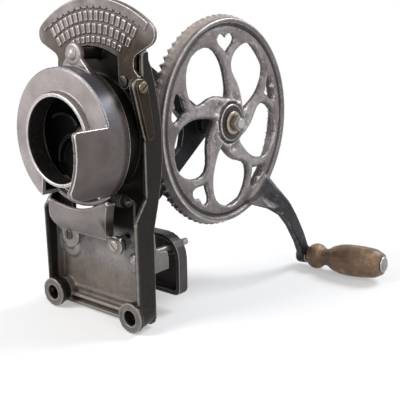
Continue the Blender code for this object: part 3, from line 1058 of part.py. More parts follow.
def disc_shaft(steel, centre):
    """Shaft through the bearing, with a head in front and a threaded end for the pinion's nut."""
    head_back = DISC_FRONT - DISC_NOSE_HEIGHT - GAP
    shoulder = pinion_front() + GEAR_HUB_LENGTH - OVERRUN
    end = pinion_front() + GEAR_HUB_LENGTH + GAP + SHAFT_NUT_HEIGHT + OVERRUN
    turned("disc_shaft", "Y", (0.0, 0.0, 0.0), (
        (0.0, end), (SHAFT_END_RADIUS, end), (SHAFT_END_RADIUS, shoulder), (SHAFT_RADIUS, shoulder),
        (SHAFT_RADIUS, head_back), *dome(SHAFT_RADIUS + OVERRUN, head_back, SHAFT_HEAD_HEIGHT)), steel, centre,
        steps=MEDIUM_STEPS)
    nut("pinion_nut", "Y", (0.0, 0.0), pinion_front() + GEAR_HUB_LENGTH + GAP, SHAFT_NUT_HEIGHT, SHAFT_NUT_ACROSS,
        SHAFT_END_RADIUS, steel, centre)


def pinion_front():
    """Front of the pinion's hub, which runs against the bearing's back."""
    return BEARING_BACK + GAP


def tooth_samples(teeth):
    """Angle and height, 1 at the tip and 0 at the root, at each corner of a ring of teeth."""
    pitch = math.tau / teeth
    samples = []
    for index in range(teeth):
        middle = pitch * index
        samples.append((middle - pitch * TOOTH_ROOT_SHARE / 2, 0.0))
        samples.append((middle - pitch * TOOTH_TIP_SHARE / 2, 1.0))
        samples.append((middle + pitch * TOOTH_TIP_SHARE / 2, 1.0))
        samples.append((middle + pitch * TOOTH_ROOT_SHARE / 2, 0.0))
    return samples


def tooth_height(tip, radius):
    """Height over the pitch cone, which shrinks towards the cone's point."""
    height = TOOTH_ADDENDUM if tip else -TOOTH_DEDENDUM
    return height * radius / GEAR_LARGE_RADIUS


def bevel_pinion(material, centre):
    """Bevel gear on the disc's shaft: its teeth lie on the cone whose point is on the wheel's axis."""
    bore = SHAFT_RADIUS + BOLT_CLEARANCE
    hub_front = pinion_front()
    hub_back = hub_front + GEAR_HUB_LENGTH
    large_y = WHEEL_AXIS_Y - GEAR_LARGE_RADIUS
    small_y = WHEEL_AXIS_Y - GEAR_SMALL_RADIUS
    gear = turned("bevel_pinion", "Y", (0.0, 0.0, 0.0), (
        (GEAR_HUB_RADIUS, hub_back), (GEAR_HUB_RADIUS, hub_front), (bore, hub_front), (bore, hub_back)),
        material, centre, steps=MEDIUM_STEPS)
    core = GEAR_HUB_RADIUS - OVERRUN
    sections = []
    for angle, tip in tooth_samples(PINION_TEETH):
        large = GEAR_LARGE_RADIUS / CONE_RATIO + tooth_height(tip, GEAR_LARGE_RADIUS)
        small = GEAR_SMALL_RADIUS / CONE_RATIO + tooth_height(tip, GEAR_SMALL_RADIUS)
        pairs = ((core, large_y), (large, large_y), (small, small_y), (core, small_y))
        sections.append([(radius * math.cos(angle), y, radius * math.sin(angle)) for radius, y in pairs])
    teeth = loft("pinion_teeth", sections, parent=centre, closed=True)
    return combine(gear, "UNION", teeth)


def heart_outline(angle):
    """A heart with its lobes outwards and its tip towards the hub, as (y, z) about the wheel's axis."""
    points = []
    *cosines, lift, height = HEART_SHARES
    for index in range(HEART_POINTS):
        t = math.tau * index / HEART_POINTS
        across = HEART_HALF_WIDTH * math.sin(t) ** 3
        wave = lift + sum(share * math.cos(turn * t) for turn, share in enumerate(cosines, 1))
        radius = HEART_CENTRE_RADIUS + HEART_HEIGHT * wave / height
        points.append((radius * math.cos(angle) - across * math.sin(angle),
                       radius * math.sin(angle) + across * math.cos(angle)))
    return points


def arm_section(radius, x, half_width, half_thickness, slope):
    """One cross section of the crank arm, square to its path."""
    outward = Vector((0.0, math.cos(CRANK_ANGLE), math.sin(CRANK_ANGLE)))
    sideways = Vector((0.0, -math.sin(CRANK_ANGLE), math.cos(CRANK_ANGLE)))
    along_x = Vector((1.0, 0.0, 0.0))
    path = (outward * slope[0] + along_x * slope[1]).normalized()
    normal = sideways.cross(path).normalized()
    centre = outward * radius + along_x * x
    return [centre + sideways * half_width * u + normal * half_thickness * v for u, v in ARM_SECTION_SHARES]


def crank_wheel(material, axis):
    """Toothed rim, web of five forked spokes round heart-shaped holes, hub and crank arm in one casting."""
    rim_back = RIM_BACK_X - GAP
    bead_inner = RIM_FRONT_RADIUS - RIM_BEAD_WIDTH
    groove_inner = bead_inner - RIM_GROOVE_WIDTH
    ledge_x = RIM_FRONT_X - RIM_GROOVE_DEPTH / 2
    groove_x = RIM_FRONT_X - RIM_GROOVE_DEPTH
    rim = turned("crank_wheel", "X", (0.0, 0.0, 0.0), (
        (RIM_INNER_RADIUS, ledge_x), (groove_inner, ledge_x), (groove_inner, groove_x), (bead_inner, groove_x),
        (bead_inner, RIM_FRONT_X), (RIM_FRONT_RADIUS, RIM_FRONT_X), (RIM_OUTER_RADIUS, RIM_BACK_X + OVERRUN),
        (RIM_OUTER_RADIUS, rim_back), (RIM_INNER_RADIUS, rim_back)), material, axis)
    sections = []
    for angle, tip in tooth_samples(WHEEL_TEETH):
        large = GEAR_LARGE_RADIUS / CONE_RATIO - tooth_height(tip, GEAR_LARGE_RADIUS)
        small = GEAR_SMALL_RADIUS / CONE_RATIO - tooth_height(tip, GEAR_SMALL_RADIUS)
        pairs = ((GEAR_LARGE_RADIUS, large), (GEAR_LARGE_RADIUS, RIM_BACK_X),
                 (GEAR_SMALL_RADIUS, RIM_BACK_X), (GEAR_SMALL_RADIUS, small))
        sections.append([(x, radius * math.cos(angle), radius * math.sin(angle)) for radius, x in pairs])
    teeth = loft("wheel_teeth", sections, parent=axis, closed=True)
    outlines = [arc((0.0, 0.0), (RIM_INNER_RADIUS + groove_inner) / 2, 0.0, 360.0 * (FINE_STEPS - 1) / FINE_STEPS, FINE_STEPS - 1)]
    for index in range(SPOKES):
        turn = 360.0 * index / SPOKES
        outlines.append([
            (WINDOW_RADIUS * share * math.cos(math.radians(WINDOW_ANGLE_DEGREES + turn + angle)),
             WINDOW_RADIUS * share * math.sin(math.radians(WINDOW_ANGLE_DEGREES + turn + angle)))
            for share, angle in WINDOW_OUTLINE_SHARES])
        outlines.append(heart_outline(math.radians(HEART_ANGLE_DEGREES + turn)))
    web = plate("wheel_web", "X", outlines, WEB_FRONT_X - WEB_THICKNESS, WEB_FRONT_X, parent=axis)
    hub = rod("wheel_hub", "X", (HUB_BACK_X, 0.0, 0.0), HUB_FRONT_X - HUB_BACK_X, HUB_RADIUS, parent=axis)
    path = [(RIM_OUTER_RADIUS + (CRANK_RADIUS - RIM_OUTER_RADIUS) * out, RIM_FRONT_X + CRANK_END_STEP * along)
            for out, along in ARM_PATH_SHARES]
    arm_sections = []
    for index, (radius, x) in enumerate(path):
        before = path[max(index - 1, 0)]
        after = path[min(index + 1, len(path) - 1)]
        slope = (after[0] - before[0], after[1] - before[1])
        arm_sections.append(arm_section(radius, x, ARM_HALF_WIDTHS[index], ARM_HALF_THICKNESSES[index], slope))
    arm = loft("crank_arm", arm_sections, parent=axis)
    return combine(rim, "UNION", teeth, web, hub, arm)


def crank_end():
    """The grip's centre point, from the wheel's axis."""
    return Vector((CRANK_END_X, CRANK_RADIUS * math.cos(CRANK_ANGLE), CRANK_RADIUS * math.sin(CRANK_ANGLE)))


def finish_wheel(wheel, axis, grip_axis):
    """The arm's end boss, on the grip's tilted axis, and the bores for axle and grip bolt."""
    boss = rod("crank_boss", "X", (-CRANK_BOSS_HALF_LENGTH, 0.0, 0.0), CRANK_BOSS_HALF_LENGTH * 2, CRANK_BOSS_RADIUS,
               parent=grip_axis)
    combine(wheel, "UNION", boss)
    axle = rod("wheel_bore", "X", (HUB_BACK_X - OVERRUN, 0.0, 0.0), HUB_FRONT_X - HUB_BACK_X + OVERRUN * 2,
               AXLE_RADIUS + BOLT_CLEARANCE, parent=axis)
    half = CRANK_BOSS_HALF_LENGTH + OVERRUN
    bolt = rod("crank_bore", "X", (-half, 0.0, 0.0), half * 2, GRIP_BOLT_RADIUS + BOLT_CLEARANCE, parent=grip_axis,
               sides=SMALL_STEPS)
    combine(wheel, "DIFFERENCE", axle, bolt)


def axle_parts(steel, place):
    """Fixed axle through the bracket and the wheel's hub, with a round washer and a square nut."""
    washer_start = HUB_FRONT_X + GAP
    nut_start = washer_start + AXLE_WASHER_THICKNESS + GAP
    end = nut_start + AXLE_NUT_HEIGHT + AXLE_PROUD
    head = BRACKET_HUB_BACK_X - GAP
    turned("wheel_axle", "X", place, (
        (0.0, end), (AXLE_END_RADIUS, end), (AXLE_END_RADIUS, washer_start - GAP), (AXLE_RADIUS, washer_start - GAP),
        (AXLE_RADIUS, head), (AXLE_WASHER_RADIUS, head), (AXLE_WASHER_RADIUS, head - AXLE_WASHER_THICKNESS * 2),
        (0.0, head - AXLE_WASHER_THICKNESS * 2)), steel, steps=MEDIUM_STEPS)
    bore = AXLE_END_RADIUS + BOLT_CLEARANCE
    turned("axle_washer", "X", place, (
        (AXLE_WASHER_RADIUS, washer_start + AXLE_WASHER_THICKNESS), (AXLE_WASHER_RADIUS, washer_start),
        (bore, washer_start), (bore, washer_start + AXLE_WASHER_THICKNESS)), steel, steps=MEDIUM_STEPS)
    nut("axle_nut", "X", (place[1], place[2]), nut_start, AXLE_NUT_HEIGHT, AXLE_NUT_ACROSS, AXLE_END_RADIUS, steel,
        turned_degrees=AXLE_NUT_DEGREES)


def grip_parts(wood, steel, grip_axis):
    """Turned wooden grip on its bolt, which is screwed into the arm's boss, with a washer between."""
    start = CRANK_BOSS_HALF_LENGTH + GAP * 2 + GRIP_WASHER_THICKNESS
    end = start + GRIP_PROFILE[-1][1]
    outside = [(radius, start + place) for radius, place in reversed(GRIP_PROFILE)]
    profile = [(GRIP_BORE_RADIUS, end)] + outside + [(GRIP_BORE_RADIUS, start)]
    turned("grip", "X", (0.0, 0.0, 0.0), profile, wood, grip_axis, steps=MEDIUM_STEPS)
    washer = CRANK_BOSS_HALF_LENGTH + GAP
    turned("grip_washer", "X", (0.0, 0.0, 0.0), (
        (GRIP_WASHER_RADIUS, washer + GRIP_WASHER_THICKNESS), (GRIP_WASHER_RADIUS, washer),
        (GRIP_BORE_RADIUS, washer), (GRIP_BORE_RADIUS, washer + GRIP_WASHER_THICKNESS)), steel, grip_axis, steps=MEDIUM_STEPS)
    head = end + GAP
    turned("grip_bolt", "X", (0.0, 0.0, 0.0), (
        *((radius, 2 * head - place) for radius, place in reversed(dome(GRIP_HEAD_RADIUS, head, GRIP_HEAD_HEIGHT))),
        (GRIP_BOLT_RADIUS, head), (GRIP_BOLT_RADIUS, -CRANK_BOSS_HALF_LENGTH), (0.0, -CRANK_BOSS_HALF_LENGTH)),
        steel, grip_axis, steps=MEDIUM_STEPS)


def clamp_jaw(material):
    """Dished jaw behind the board, with a boss round each bolt."""
    back = JAW_FRONT + JAW_DEPTH
    jaw = plate("clamp_jaw", "Y", [jaw_outline(0.0)], JAW_FRONT, back, material)
    pocket = plate("jaw_pocket", "Y", [jaw_outline(JAW_WALL)], JAW_FRONT - OVERRUN, back - JAW_WALL)
    combine(jaw, "DIFFERENCE", pocket)
    bosses = []
    bores = []
    for label, sign in (("left", -1.0), ("right", 1.0)):
        boss_front = JAW_FRONT + JAW_BOSS_FRONT_STEP
        bosses.append(rod(f"jaw_boss_{label}", "Y", (sign * CLAMP_X, boss_front, CLAMP_Z),
                          JAW_DEPTH - JAW_BOSS_FRONT_STEP - WELD, JAW_BOSS_RADIUS, sides=SMALL_STEPS))
        bores.append(rod(f"jaw_bore_{label}", "Y", (sign * CLAMP_X, JAW_FRONT - OVERRUN, CLAMP_Z),
                         JAW_DEPTH + OVERRUN * 2, CLAMP_BOLT_RADIUS + BOLT_CLEARANCE, sides=SMALL_STEPS))
    combine(jaw, "UNION", *bosses)
    combine(jaw, "DIFFERENCE", *bores)
    return jaw


def jaw_outline(inset):
    """The jaw's outline, round at its two upper corners, drawn in by an inset."""
    half = JAW_HALF_WIDTH - inset
    top = JAW_TOP - inset
    bottom = JAW_BOTTOM + inset
    corner = JAW_CORNER - inset
    foot = CORNER_RADIUS - inset / 2
    points = arc((half - foot, bottom + foot), foot, -90.0, 0.0, 3)
    points += arc((half - corner, top - corner), corner, 0.0, 90.0)
    points += arc((-half + corner, top - corner), corner, 90.0, 180.0)
    points += arc((-half + foot, bottom + foot), foot, 180.0, 270.0, 3)
    return points


def clamp_bolts(steel):
    """Two bolts through plate and jaw, each with a domed head in front and a square nut behind."""
    head_back = PLATE_FRONT - CLAMP_PAD_HEIGHT - GAP
    end = CLAMP_BOLT_LENGTH + head_back
    nut_start = JAW_FRONT + JAW_DEPTH + GAP
    for label, sign in (("left", -1.0), ("right", 1.0)):
        turned(f"clamp_bolt_{label}", "Y", (sign * CLAMP_X, 0.0, CLAMP_Z), (
            (0.0, end), (CLAMP_BOLT_RADIUS, end), (CLAMP_BOLT_RADIUS, head_back),
            *dome(CLAMP_HEAD_RADIUS, head_back, CLAMP_HEAD_HEIGHT)), steel, steps=SMALL_STEPS)
        nut(f"clamp_nut_{label}", "Y", (sign * CLAMP_X, CLAMP_Z), nut_start, CLAMP_NUT_HEIGHT, CLAMP_NUT_ACROSS,
            CLAMP_BOLT_RADIUS, steel, turned_degrees=CLAMP_NUT_DEGREES)


def settle_meshes():
    """Put each piece's modifiers into its mesh and shade it smooth up to the edges that are sharp."""
    bpy.context.view_layer.update()
    dependencies = bpy.context.evaluated_depsgraph_get()
    pieces = [item for item in SHELLER.objects if item.type == "MESH"]
    settled = {item: bpy.data.meshes.new_from_object(item.evaluated_get(dependencies)) for item in pieces}
    for item, mesh in settled.items():
        item.modifiers.clear()
        item.data = mesh
        mesh.shade_smooth()
        mesh.set_sharp_from_angle(angle=math.radians(SMOOTH_DEGREES))


def build():
    """Every piece of the sheller in its place."""
    clear_scene()
    dark_iron = metal("dark_iron", (0.055, 0.05, 0.047), 0.55, 0.6)
    grey_iron = metal("grey_iron", (0.20, 0.185, 0.17), 0.5, 0.6)
    pale_iron = metal("pale_iron", (0.30, 0.28, 0.26), 0.45, 0.6)
    brown_iron = metal("brown_iron", (0.15, 0.12, 0.07), 0.6, 0.5)
    steel = metal("steel", (0.42, 0.39, 0.35), 0.35, 0.9)
    wood = metal("grip_wood", (0.13, 0.055, 0.025), 0.4, 0.0)

    pivot_place = (PIVOT_X, 0.0, PIVOT_Z)
    throat_pivot = pivot_empty("throat_pivot", pivot_place)
    disc_axis = pivot_empty("disc_axis", (0.0, 0.0, AXIS_Z))
    wheel_place = (0.0, WHEEL_AXIS_Y, AXIS_Z)
    wheel_axis = pivot_empty("wheel_axis", wheel_place)
    grip_axis = pivot_empty("grip_axis", crank_end(), wheel_axis, (0.0, -math.radians(GRIP_TILT_DEGREES), 0.0))

    frame_casting(dark_iron)
    axle_bracket(dark_iron)
    bracket_bolts(steel)
    crest_plaque(pale_iron)
    crest_front = PLATE_FRONT - WALL_LIP - GAP - CREST_THICKNESS - GAP
    for label, leg_x in CREST_LEG_X.items():
        slotted_screw(f"crest_screw_{label}", (leg_x, crest_front, AXIS_Z + CREST_BOSS_RISE),
                      CREST_SCREW_HEAD_RADIUS, CREST_SCREW_HEAD_HEIGHT, CREST_SCREW_RADIUS, CREST_SCREW_LENGTH,
                      brown_iron, SLOT_DEGREES)
    side_strap(brown_iron)
    strap_front = STRAP_BACK_X + STRAP_THICKNESS + GAP
    slotted_screw("strap_screw", (strap_front, STRAP_BOSS_Y, AXIS_Z + STRAP_BOSS_RISE), CREST_SCREW_HEAD_RADIUS,
                  CREST_SCREW_HEAD_HEIGHT, CREST_SCREW_RADIUS, CREST_SCREW_LENGTH, brown_iron, SLOT_DEGREES, "X")
    throat(pale_iron, throat_pivot)
    pivot_fasteners(steel, pivot_place)
    throat_spring(steel)
    spring_anchor(steel)
    apron(pale_iron)
    for label, lobe_x, _ in APRON_LOBES:
        slotted_screw(f"apron_screw_{label}", (lobe_x, APRON_FOOT_Y - APRON_LOBE_THICKNESS - GAP, APRON_LOBE_Z),
                      APRON_SCREW_HEAD_RADIUS, APRON_SCREW_HEAD_HEIGHT, APRON_SCREW_RADIUS, APRON_SCREW_LENGTH, steel,
                      APRON_SLOT_DEGREES)
    shelling_disc(grey_iron, disc_axis)
    disc_shaft(steel, disc_axis)
    bevel_pinion(grey_iron, disc_axis)
    wheel = crank_wheel(grey_iron, wheel_axis)
    finish_wheel(wheel, wheel_axis, grip_axis)
    axle_parts(steel, wheel_place)
    grip_parts(wood, steel, grip_axis)
    clamp_jaw(dark_iron)
    clamp_bolts(steel)
    settle_meshes()


build()
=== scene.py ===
"""A hand-cranked corn sheller of worn cast iron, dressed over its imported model."""
import math

import bmesh
import bpy
import numpy as np
from mathutils import Matrix, Vector


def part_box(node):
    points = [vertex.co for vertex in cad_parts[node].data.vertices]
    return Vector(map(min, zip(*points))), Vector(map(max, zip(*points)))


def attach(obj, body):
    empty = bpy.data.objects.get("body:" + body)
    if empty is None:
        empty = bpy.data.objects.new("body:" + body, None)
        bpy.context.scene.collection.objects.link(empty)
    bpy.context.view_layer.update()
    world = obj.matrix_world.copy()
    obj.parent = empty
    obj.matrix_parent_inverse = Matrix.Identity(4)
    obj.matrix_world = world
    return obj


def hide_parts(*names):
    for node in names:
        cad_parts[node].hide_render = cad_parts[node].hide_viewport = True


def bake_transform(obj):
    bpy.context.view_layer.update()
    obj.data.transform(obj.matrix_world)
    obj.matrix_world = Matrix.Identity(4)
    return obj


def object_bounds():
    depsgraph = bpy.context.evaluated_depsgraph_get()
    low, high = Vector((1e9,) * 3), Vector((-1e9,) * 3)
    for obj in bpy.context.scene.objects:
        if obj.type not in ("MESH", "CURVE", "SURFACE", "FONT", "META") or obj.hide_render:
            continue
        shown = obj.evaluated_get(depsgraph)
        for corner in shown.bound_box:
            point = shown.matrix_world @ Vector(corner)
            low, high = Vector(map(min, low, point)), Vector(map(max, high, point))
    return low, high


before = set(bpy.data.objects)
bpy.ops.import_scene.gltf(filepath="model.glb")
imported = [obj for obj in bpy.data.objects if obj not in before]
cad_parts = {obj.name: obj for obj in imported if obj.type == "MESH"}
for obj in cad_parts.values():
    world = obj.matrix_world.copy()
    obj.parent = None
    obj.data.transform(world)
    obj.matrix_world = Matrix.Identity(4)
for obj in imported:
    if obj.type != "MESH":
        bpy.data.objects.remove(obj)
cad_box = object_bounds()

# Studio: the sheller is looked at from its left front, a little from above.
# It stands on a pale floor in a white room, under three soft lamps.
CAMERA_PLACE = (0.53197, -0.49328, 0.25937)
CAMERA_TURN = math.radians(39.14)
CAMERA_DIP = math.radians(14.27)
CAMERA_ROLL = math.radians(-0.83)
SENSOR_MM = 36.0
LENS_MM = 62.567
FLOOR_HALF = 4.5
FLOOR_LINES = 16
FLOOR_GAP = 0.0004
SHADOW_NEAR = 0.22
SHADOW_FAR = 0.9
SHADOW_SHARE = 0.35
LAMP_AIM = Vector((0.03, 0.05, 0.13))

scene = bpy.context.scene
scene.view_settings.view_transform = "Standard"
ahead = Vector((-math.sin(CAMERA_TURN) * math.cos(CAMERA_DIP),
                math.cos(CAMERA_TURN) * math.cos(CAMERA_DIP), -math.sin(CAMERA_DIP)))
level = Vector((math.cos(CAMERA_TURN), math.sin(CAMERA_TURN), 0.0))
above = level.cross(ahead)
across = level * math.cos(CAMERA_ROLL) + above * math.sin(CAMERA_ROLL)
upward = above * math.cos(CAMERA_ROLL) - level * math.sin(CAMERA_ROLL)
camera_data = bpy.data.cameras.new("photo_camera")
camera_data.sensor_width = SENSOR_MM
camera_data.lens = LENS_MM
camera_data.clip_start = 0.01
camera = bpy.data.objects.new("photo_camera", camera_data)
scene.collection.objects.link(camera)
camera.matrix_world = Matrix((
    (across.x, upward.x, -ahead.x, CAMERA_PLACE[0]),
    (across.y, upward.y, -ahead.y, CAMERA_PLACE[1]),
    (across.z, upward.z, -ahead.z, CAMERA_PLACE[2]),
    (0.0, 0.0, 0.0, 1.0)))
scene.camera = camera


def grid_faces(rows, columns, around=False, closed=False):
    """Four-sided faces over a grid of points, row by row.

    Point (i, j) has number i * columns + j; around joins the last column to the first,
    and closed joins the last row to the first.
    """
    row = np.arange(rows if closed else rows - 1)
    column = np.arange(columns if around else columns - 1)
    i, j = np.meshgrid(row, column, indexing="ij")
    below = (i + 1) % rows
    after = (j + 1) % columns
    corners = (i * columns + j, i * columns + after, below * columns + after, below * columns + j)
    return np.stack(corners, axis=-1).reshape(-1, 4)


def mesh_piece(name, points, faces):
    """An object at the origin whose mesh has these points and faces."""
    mesh = bpy.data.meshes.new(name)
    rows = np.asarray(points, float).reshape(-1, 3).tolist()
    mesh.from_pydata(rows, [], [list(map(int, face)) for face in faces])
    mesh.update()
    mesh.shade_smooth()
    item = bpy.data.objects.new(name, mesh)
    scene.collection.objects.link(item)
    return item


def floor_surface(low_z):
    """The floor as one level sheet: x and y run in even steps from one edge to the other."""
    run = np.linspace(-FLOOR_HALF, FLOOR_HALF, FLOOR_LINES)
    x, y = np.meshgrid(run, run, indexing="ij")
    return np.stack([x, y, np.full_like(x, low_z)], axis=-1), grid_faces(FLOOR_LINES, FLOOR_LINES)


def looked_at(nodes, links):
    """One where the camera, a glossy ray or a ray through glass looks, nought where light is gathered."""
    path = nodes.new("ShaderNodeLightPath")
    total = path.outputs["Is Camera Ray"]
    for name in ("Is Glossy Ray", "Is Transmission Ray"):
        step = nodes.new("ShaderNodeMath")
        step.operation = "MAXIMUM"
        links.new(total, step.inputs[0])
        links.new(path.outputs[name], step.inputs[1])
        total = step.outputs["Value"]
    return total


def fresh_material(name):
    """A new material, with its nodes, its links and its shader."""
    material = bpy.data.materials.new(name)
    material.use_nodes = True
    tree = material.node_tree
    return material, tree.nodes, tree.links, tree.nodes["Principled BSDF"]


def give(node, values):
    """Set a node's inputs, by their names."""
    for name, value in values.items():
        node.inputs[name].default_value = value


def floor_paint():
    """Pale paint that keeps the shadow near the sheller and turns to clear white further off.

    Where the camera or a mirror-like surface looks at it, a share of its own white is mixed in. It rises
    with the distance from the middle, from SHADOW_SHARE at SHADOW_NEAR to the whole at SHADOW_FAR.
    """
    material, nodes, links, shader = fresh_material("studio_paint")
    give(shader, {"Base Color": (0.88, 0.88, 0.88, 1.0), "Roughness": 0.9, "Specular IOR Level": 0.2})
    place = nodes.new("ShaderNodeTexCoord")
    length = nodes.new("ShaderNodeVectorMath")
    length.operation = "LENGTH"
    links.new(place.outputs["Object"], length.inputs[0])
    share = nodes.new("ShaderNodeMapRange")
    share.interpolation_type = "SMOOTHSTEP"
    give(share, {"From Min": SHADOW_NEAR, "From Max": SHADOW_FAR, "To Min": SHADOW_SHARE})
    links.new(length.outputs["Value"], share.inputs["Value"])
    white = nodes.new("ShaderNodeEmission")
    both = nodes.new("ShaderNodeMixShader")
    seen = nodes.new("ShaderNodeMath")
    seen.operation = "MULTIPLY"
    links.new(looked_at(nodes, links), seen.inputs[0])
    links.new(share.outputs["Result"], seen.inputs[1])
    links.new(seen.outputs["Value"], both.inputs["Fac"])
    links.new(shader.outputs["BSDF"], both.inputs[1])
    links.new(white.outputs["Emission"], both.inputs[2])
    links.new(both.outputs["Shader"], nodes["Material Output"].inputs["Surface"])
    return material


floor = mesh_piece("studio_floor", *floor_surface(cad_box[0][2] - FLOOR_GAP))
floor.data.materials.append(floor_paint())


def soft_lamp(name, place, size, watts, tint):
    """A square lamp that faces the middle of the sheller."""
    data = bpy.data.lights.new(name, "AREA")
    data.size = size
    data.energy = watts
    data.color = tint
    lamp = bpy.data.objects.new(name, data)
    scene.collection.objects.link(lamp)
    lamp.location = place
    lamp.rotation_euler = (LAMP_AIM - Vector(place)).to_track_quat("-Z", "Y").to_euler()


soft_lamp("window_lamp", (-0.75, -1.45, 1.25), 0.9, 42.0, (1.0, 0.985, 0.97))
soft_lamp("side_lamp", (1.7, -0.5, 0.9), 0.8, 7.0, (1.0, 0.97, 0.95))
soft_lamp("far_lamp", (0.7, 1.3, 1.5), 0.8, 30.0, (0.95, 0.97, 1.0))
world = bpy.data.worlds.new("pale_room")
scene.world = world
world.use_nodes = True
room_nodes = world.node_tree.nodes
room_links = world.node_tree.links
room = room_nodes["Background"]
give(room, {"Color": (0.95, 0.97, 1.0, 1.0), "Strength": 0.34})
white_room = room_nodes.new("ShaderNodeBackground")
give(white_room, {"Color": (1.0, 1.0, 1.0, 1.0), "Strength": 1.0})
either = room_nodes.new("ShaderNodeMixShader")
room_links.new(looked_at(room_nodes, room_links), either.inputs["Fac"])
room_links.new(room.outputs["Background"], either.inputs[1])
room_links.new(white_room.outputs["Background"], either.inputs[2])
room_links.new(either.outputs["Shader"], room_nodes["World Output"].inputs["Surface"])


# Frame: one iron casting with a flat plate, two side walls, corner bosses and the drum's ring.
# It came out of a sand mould, so its edges are soft and its inner corners filled; it is dark with old oil.
CAST_SKIN = 0.0009
FRAME_SKIN = 0.00125
DRUM_Z = 0.150
WHEEL_Y = 0.1372
WHEEL_Z = 0.150
FORWARD = (0.0, -1.0, 0.0)
WALL_X = 0.0688
FLANGE_Y = -0.0248
CLAMP_X = 0.050
CLAMP_Z = 0.0235
CORNER_X = 0.060
CORNER_Z = -0.0315
RAIL_HALF = 0.048
RAIL_Y = -0.0125
RAIL_Z = -0.0350
FRAME_BODY = (0.013, 0.0105, 0.0085)
FRAME_WORN = (0.24, 0.215, 0.19)
FRAME_RUST = (0.060, 0.036, 0.022)
PLATE_GREY = (0.275, 0.262, 0.255)
PLATE_BROWN = (0.185, 0.155, 0.138)
CORNER_GREY = (0.150, 0.136, 0.128)


def node_shell(node):
    """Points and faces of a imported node, with the doubles of its loose triangles merged."""
    shape = bmesh.new()
    shape.from_mesh(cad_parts[node].data)
    bmesh.ops.remove_doubles(shape, verts=shape.verts, dist=1e-6)
    points = np.array([vertex.co for vertex in shape.verts])
    faces = [[vertex.index for vertex in face.verts] for face in shape.faces]
    shape.free()
    return points, faces


def settle(item):
    """Put what the modifiers make into the object's own mesh."""
    bpy.context.view_layer.update()
    mesh = bpy.data.meshes.new_from_object(item.evaluated_get(bpy.context.evaluated_depsgraph_get()))
    item.modifiers.clear()
    item.data = mesh
    mesh.shade_smooth()


def points_of(item):
    """The mesh's points as an array of rows."""
    values = np.empty(len(item.data.vertices) * 3, np.float32)
    item.data.vertices.foreach_get("co", values)
    return values.reshape(-1, 3).astype(float)


def move_points(item, points):
    """Give the mesh's points new places."""
    item.data.vertices.foreach_set("co", np.ascontiguousarray(points, dtype=np.float32).ravel())
    item.data.update()


def joined(shells):
    """The points and faces of several shells, numbered on from one shell to the next."""
    points = []
    faces = []
    count = 0
    for shell_points, shell_faces in shells:
        points.append(np.asarray(shell_points, float).reshape(-1, 3))
        faces += [[int(corner) + count for corner in face] for face in shell_faces]
        count += len(points[-1])
    return np.concatenate(points), faces


def casting(name, shells, skin=CAST_SKIN, passes=3):
    """Shells grown together as one casting.

    A skin of squares skin metres wide is laid round the union of all the shells, and each of its points is
    then drawn halfway to the mean of its neighbours, as often as passes says.
    """
    item = mesh_piece(name, *joined(shells))
    remesh = item.modifiers.new("skin", "REMESH")
    remesh.mode = "VOXEL"
    remesh.voxel_size = skin
    remesh.use_smooth_shade = True
    flow = item.modifiers.new("flow", "SMOOTH")
    flow.factor = 0.5
    flow.iterations = passes
    settle(item)
    return item


def other_two(axis):
    """The numbers of the two directions that are square to this one."""
    return [index for index in range(3) if index != axis]


def round_again(points, centre, axis, radii, reach):
    """Points near a true radius about an axis go back onto it, so that no flats show.

    A point whose distance from the axis is within reach of a radius r moves straight out or in to r.
    """
    others = other_two(axis)
    middle = np.asarray(centre)[others]
    offset = points[:, others] - middle
    distance = np.hypot(offset[:, 0], offset[:, 1])
    target = distance.copy()
    for radius in radii:
        target[np.abs(distance - radius) < reach] = radius
    result = points.copy()
    result[:, others] = middle + offset * (target / np.maximum(distance, 1e-6))[:, None]
    return result


def tube(path, radius, sides=10, closed=False):
    """A round bar along a path.

    At each place it has a circle: place + radius * (cos a * first + sin a * second), where first and second
    are square to the way the path goes there.
    """
    path = np.asarray(path, float)
    radius = np.broadcast_to(np.asarray(radius, float), (len(path),))
    if closed:
        ahead_of = np.roll(path, -1, axis=0) - np.roll(path, 1, axis=0)
    else:
        ahead_of = np.gradient(path, axis=0)
    ahead_of /= np.linalg.norm(ahead_of, axis=1)[:, None]
    guide = np.eye(3)[np.abs(ahead_of).max(axis=0).argmin()]
    first = np.cross(ahead_of, guide)
    first /= np.linalg.norm(first, axis=1)[:, None]
    second = np.cross(ahead_of, first)
    turn = np.linspace(0.0, math.tau, sides, endpoint=False)
    ring = np.cos(turn)[None, :, None] * first[:, None] + np.sin(turn)[None, :, None] * second[:, None]
    points = (path[:, None] + ring * radius[:, None, None]).reshape(-1, 3)
    faces = [list(face) for face in grid_faces(len(path), sides, around=True, closed=closed)]
    if not closed:
        faces.append(list(range(sides))[::-1])
        faces.append([(len(path) - 1) * sides + index for index in range(sides)])
    return points, faces


def lathe(centre, axis, profile, steps=48):
    """A turned form: profile gives radius and place along the axis, and the grid goes once round it.

    Point (i, j) is at centre + place_i * axis + radius_i * (cos a_j * side + sin a_j * other).
    """
    axis = np.asarray(axis, float) / np.linalg.norm(axis)
    side = np.cross(axis, (0.0, 0.0, 1.0) if abs(axis[2]) < 0.9 else (1.0, 0.0, 0.0))
    side /= np.linalg.norm(side)
    other = np.cross(axis, side)
    turn = np.linspace(0.0, math.tau, steps, endpoint=False)
    radius = np.maximum(np.array([pair[0] for pair in profile], float), 1e-5)
    along = np.array([pair[1] for pair in profile], float)
    ring = np.cos(turn)[:, None] * side + np.sin(turn)[:, None] * other
    points = np.asarray(centre, float) + along[:, None, None] * axis + radius[:, None, None] * ring[None]
    faces = [list(face) for face in grid_faces(len(profile), steps, around=True)]
    faces.append(list(range(steps))[::-1])
    faces.append([(len(profile) - 1) * steps + index for index in range(steps)])
    return points.reshape(-1, 3), faces


